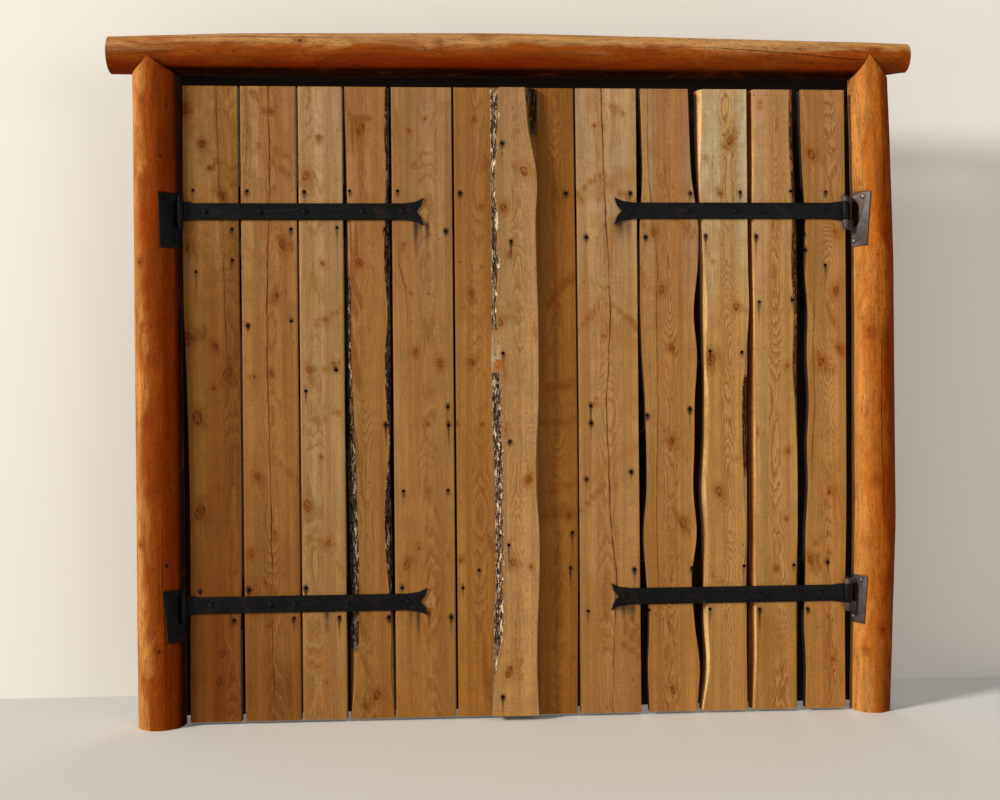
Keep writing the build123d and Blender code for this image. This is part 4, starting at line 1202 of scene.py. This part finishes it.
head = dome(*iron["head"])
nut = block(iron["nut"], iron["ledgeBack"] + iron["nut"][1] / 2)
bevel(settle(nut, "nut"), iron["nutArris"])
tail = block(iron["tail"], iron["ledgeBack"] + iron["tailPast"] - iron["tail"][1] / 2)
bevel(settle(tail, "tail"), iron["tailArris"])
for hinge, spec in hinges.items():
    side = hinge.split("_")[0]
    toward = 1 if side == "left" else -1
    # painted shade: the left plates and their screws, turned from the light, take the black iron; the right
    # ones, lit, the worn iron and bright steel heads
    dark = side == "left"
    strap = copyOf(hinge + "_strap", plain(hinge) + "StrapBand")
    bevel(strap, iron["strapArris"], limit_method="ANGLE", angle_limit=iron["sharp"])
    dress(strap, blackIron, iron["bandSmooth"])
    handOver(strap, side + "_leaf", "black_iron", hinge + "_strap")

    parts = []
    for i, reach in enumerate(spec["bolts"]):
        place = (iron["pinX"][side] + toward * reach) * mm
        turned = ((math.pi / 2, 0, 0), (0, (i * 0.7) % 1.5, 0), (0, 0, 0))
        for source, turn, y in zip((head, nut, tail), turned, (iron["strapFront"], 0, 0)):
            part = copied(source)
            part.rotation_euler = turn
            part.location = (place, y * mm, spec["height"] * mm)
            parts.append(part)
    bolts = joined(parts, plain(hinge) + "BoltSet")
    dress(bolts, blackIron, iron["smooth"])
    handOver(bolts, side + "_leaf", "black_iron", hinge + "_strap_bolts")

    plate = copyOf(hinge + "_hinge_plate", plain(hinge) + "PlateLeaf")
    bevel(plate, iron["plateArris"], limit_method="ANGLE", angle_limit=iron["sharp"])
    dress(plate, blackIron if dark else wornIron, iron["bandSmooth"])
    handOver(plate, "frame", "black_iron" if dark else "worn_iron", hinge + "_hinge_plate")

    low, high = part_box(hinge + "_hinge_pin")
    middle = (low + high) / 2
    tip = iron["knob"][1] * mm
    bpy.ops.mesh.primitive_cylinder_add(vertices=40, radius=iron["pinRadius"] * mm,
                                        depth=high.z - low.z - tip,
                                        location=(middle.x, middle.y, middle.z - tip / 2))
    shank = bpy.context.object
    knob = dome(*iron["knob"])
    knob.location = (middle.x, middle.y, high.z - tip)
    pin = joined([shank, knob], plain(hinge) + "PinRod")
    dress(pin, blackIron, iron["smooth"])
    handOver(pin, "frame", "black_iron", hinge + "_hinge_pin")

    # the screws, from the heads' places in their CAD node
    low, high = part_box(hinge + "_plate_screws")
    facing = math.radians(spec["facing"])
    out = Vector((toward * math.cos(facing), -math.sin(facing), 0))
    co = getPoints(frame["nodes"][hinge + "_plate_screws"])
    parts = []
    for upper in (True, False):
        half = co[(co[:, 2] > spec["height"] * mm) == upper]
        depth = half @ np.array(out)
        top = Vector(half[depth > depth.max() - 2 * hair].mean(0))
        cap, stem = dome(*iron["screw"]), block(iron["stem"])
        for part, deeper in ((cap, 0), (stem, iron["stem"][2] / 2)):
            part.rotation_euler = out.to_track_quat("Z", "Y").to_euler()
            part.location = top - out * ((iron["screwSunk"] + deeper) * mm)
            parts.append(part)
    screws = joined(parts, plain(hinge) + "ScrewSet")
    dress(screws, blackIron if dark else headSteel, iron["smooth"])
    handOver(screws, "frame", "black_iron" if dark else "steel_heads", hinge + "_plate_screws")
for spare in (head, nut, tail):
    bpy.data.objects.remove(spare)
print("hinges done")


# Nails, one head copied to its places on each leaf
nails = {"radius": 6.2, "proud": 2.0, "arris": 0.9, "lean": 0.24, "iron": (14, 9, 6), "smooth": 40}
bpy.ops.mesh.primitive_cylinder_add(vertices=10, radius=nails["radius"] * mm,
                                    depth=2 * nails["proud"] * mm)
nailHead = bpy.context.object
bevel(nailHead, nails["arris"], limit_method="ANGLE")
rng = random.Random(5)
for side in ("left", "right"):
    parts = []
    for node, look in boards.items():
        if (side == "right") != node.startswith("right"):
            continue
        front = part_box(node)[0].y
        for nx, nz in look["nails"]:
            part = copied(nailHead)
            part.rotation_euler = (math.pi / 2 + rng.uniform(-1, 1) * nails["lean"], rng.uniform(0, 3),
                                   rng.uniform(-1, 1) * nails["lean"])
            part.location = (nx * mm, front, nz * mm)
            parts.append(part)
    made = joined(parts, side + "NailHeads")
    dress(made, ironFinish(side + "NailIron", nails["iron"], 0.0, 0.8, 0.5, 0.0, 0.05), nails["smooth"])
    handOver(made, side + "_leaf", "black_iron")
bpy.data.objects.remove(nailHead)
print("nails done")
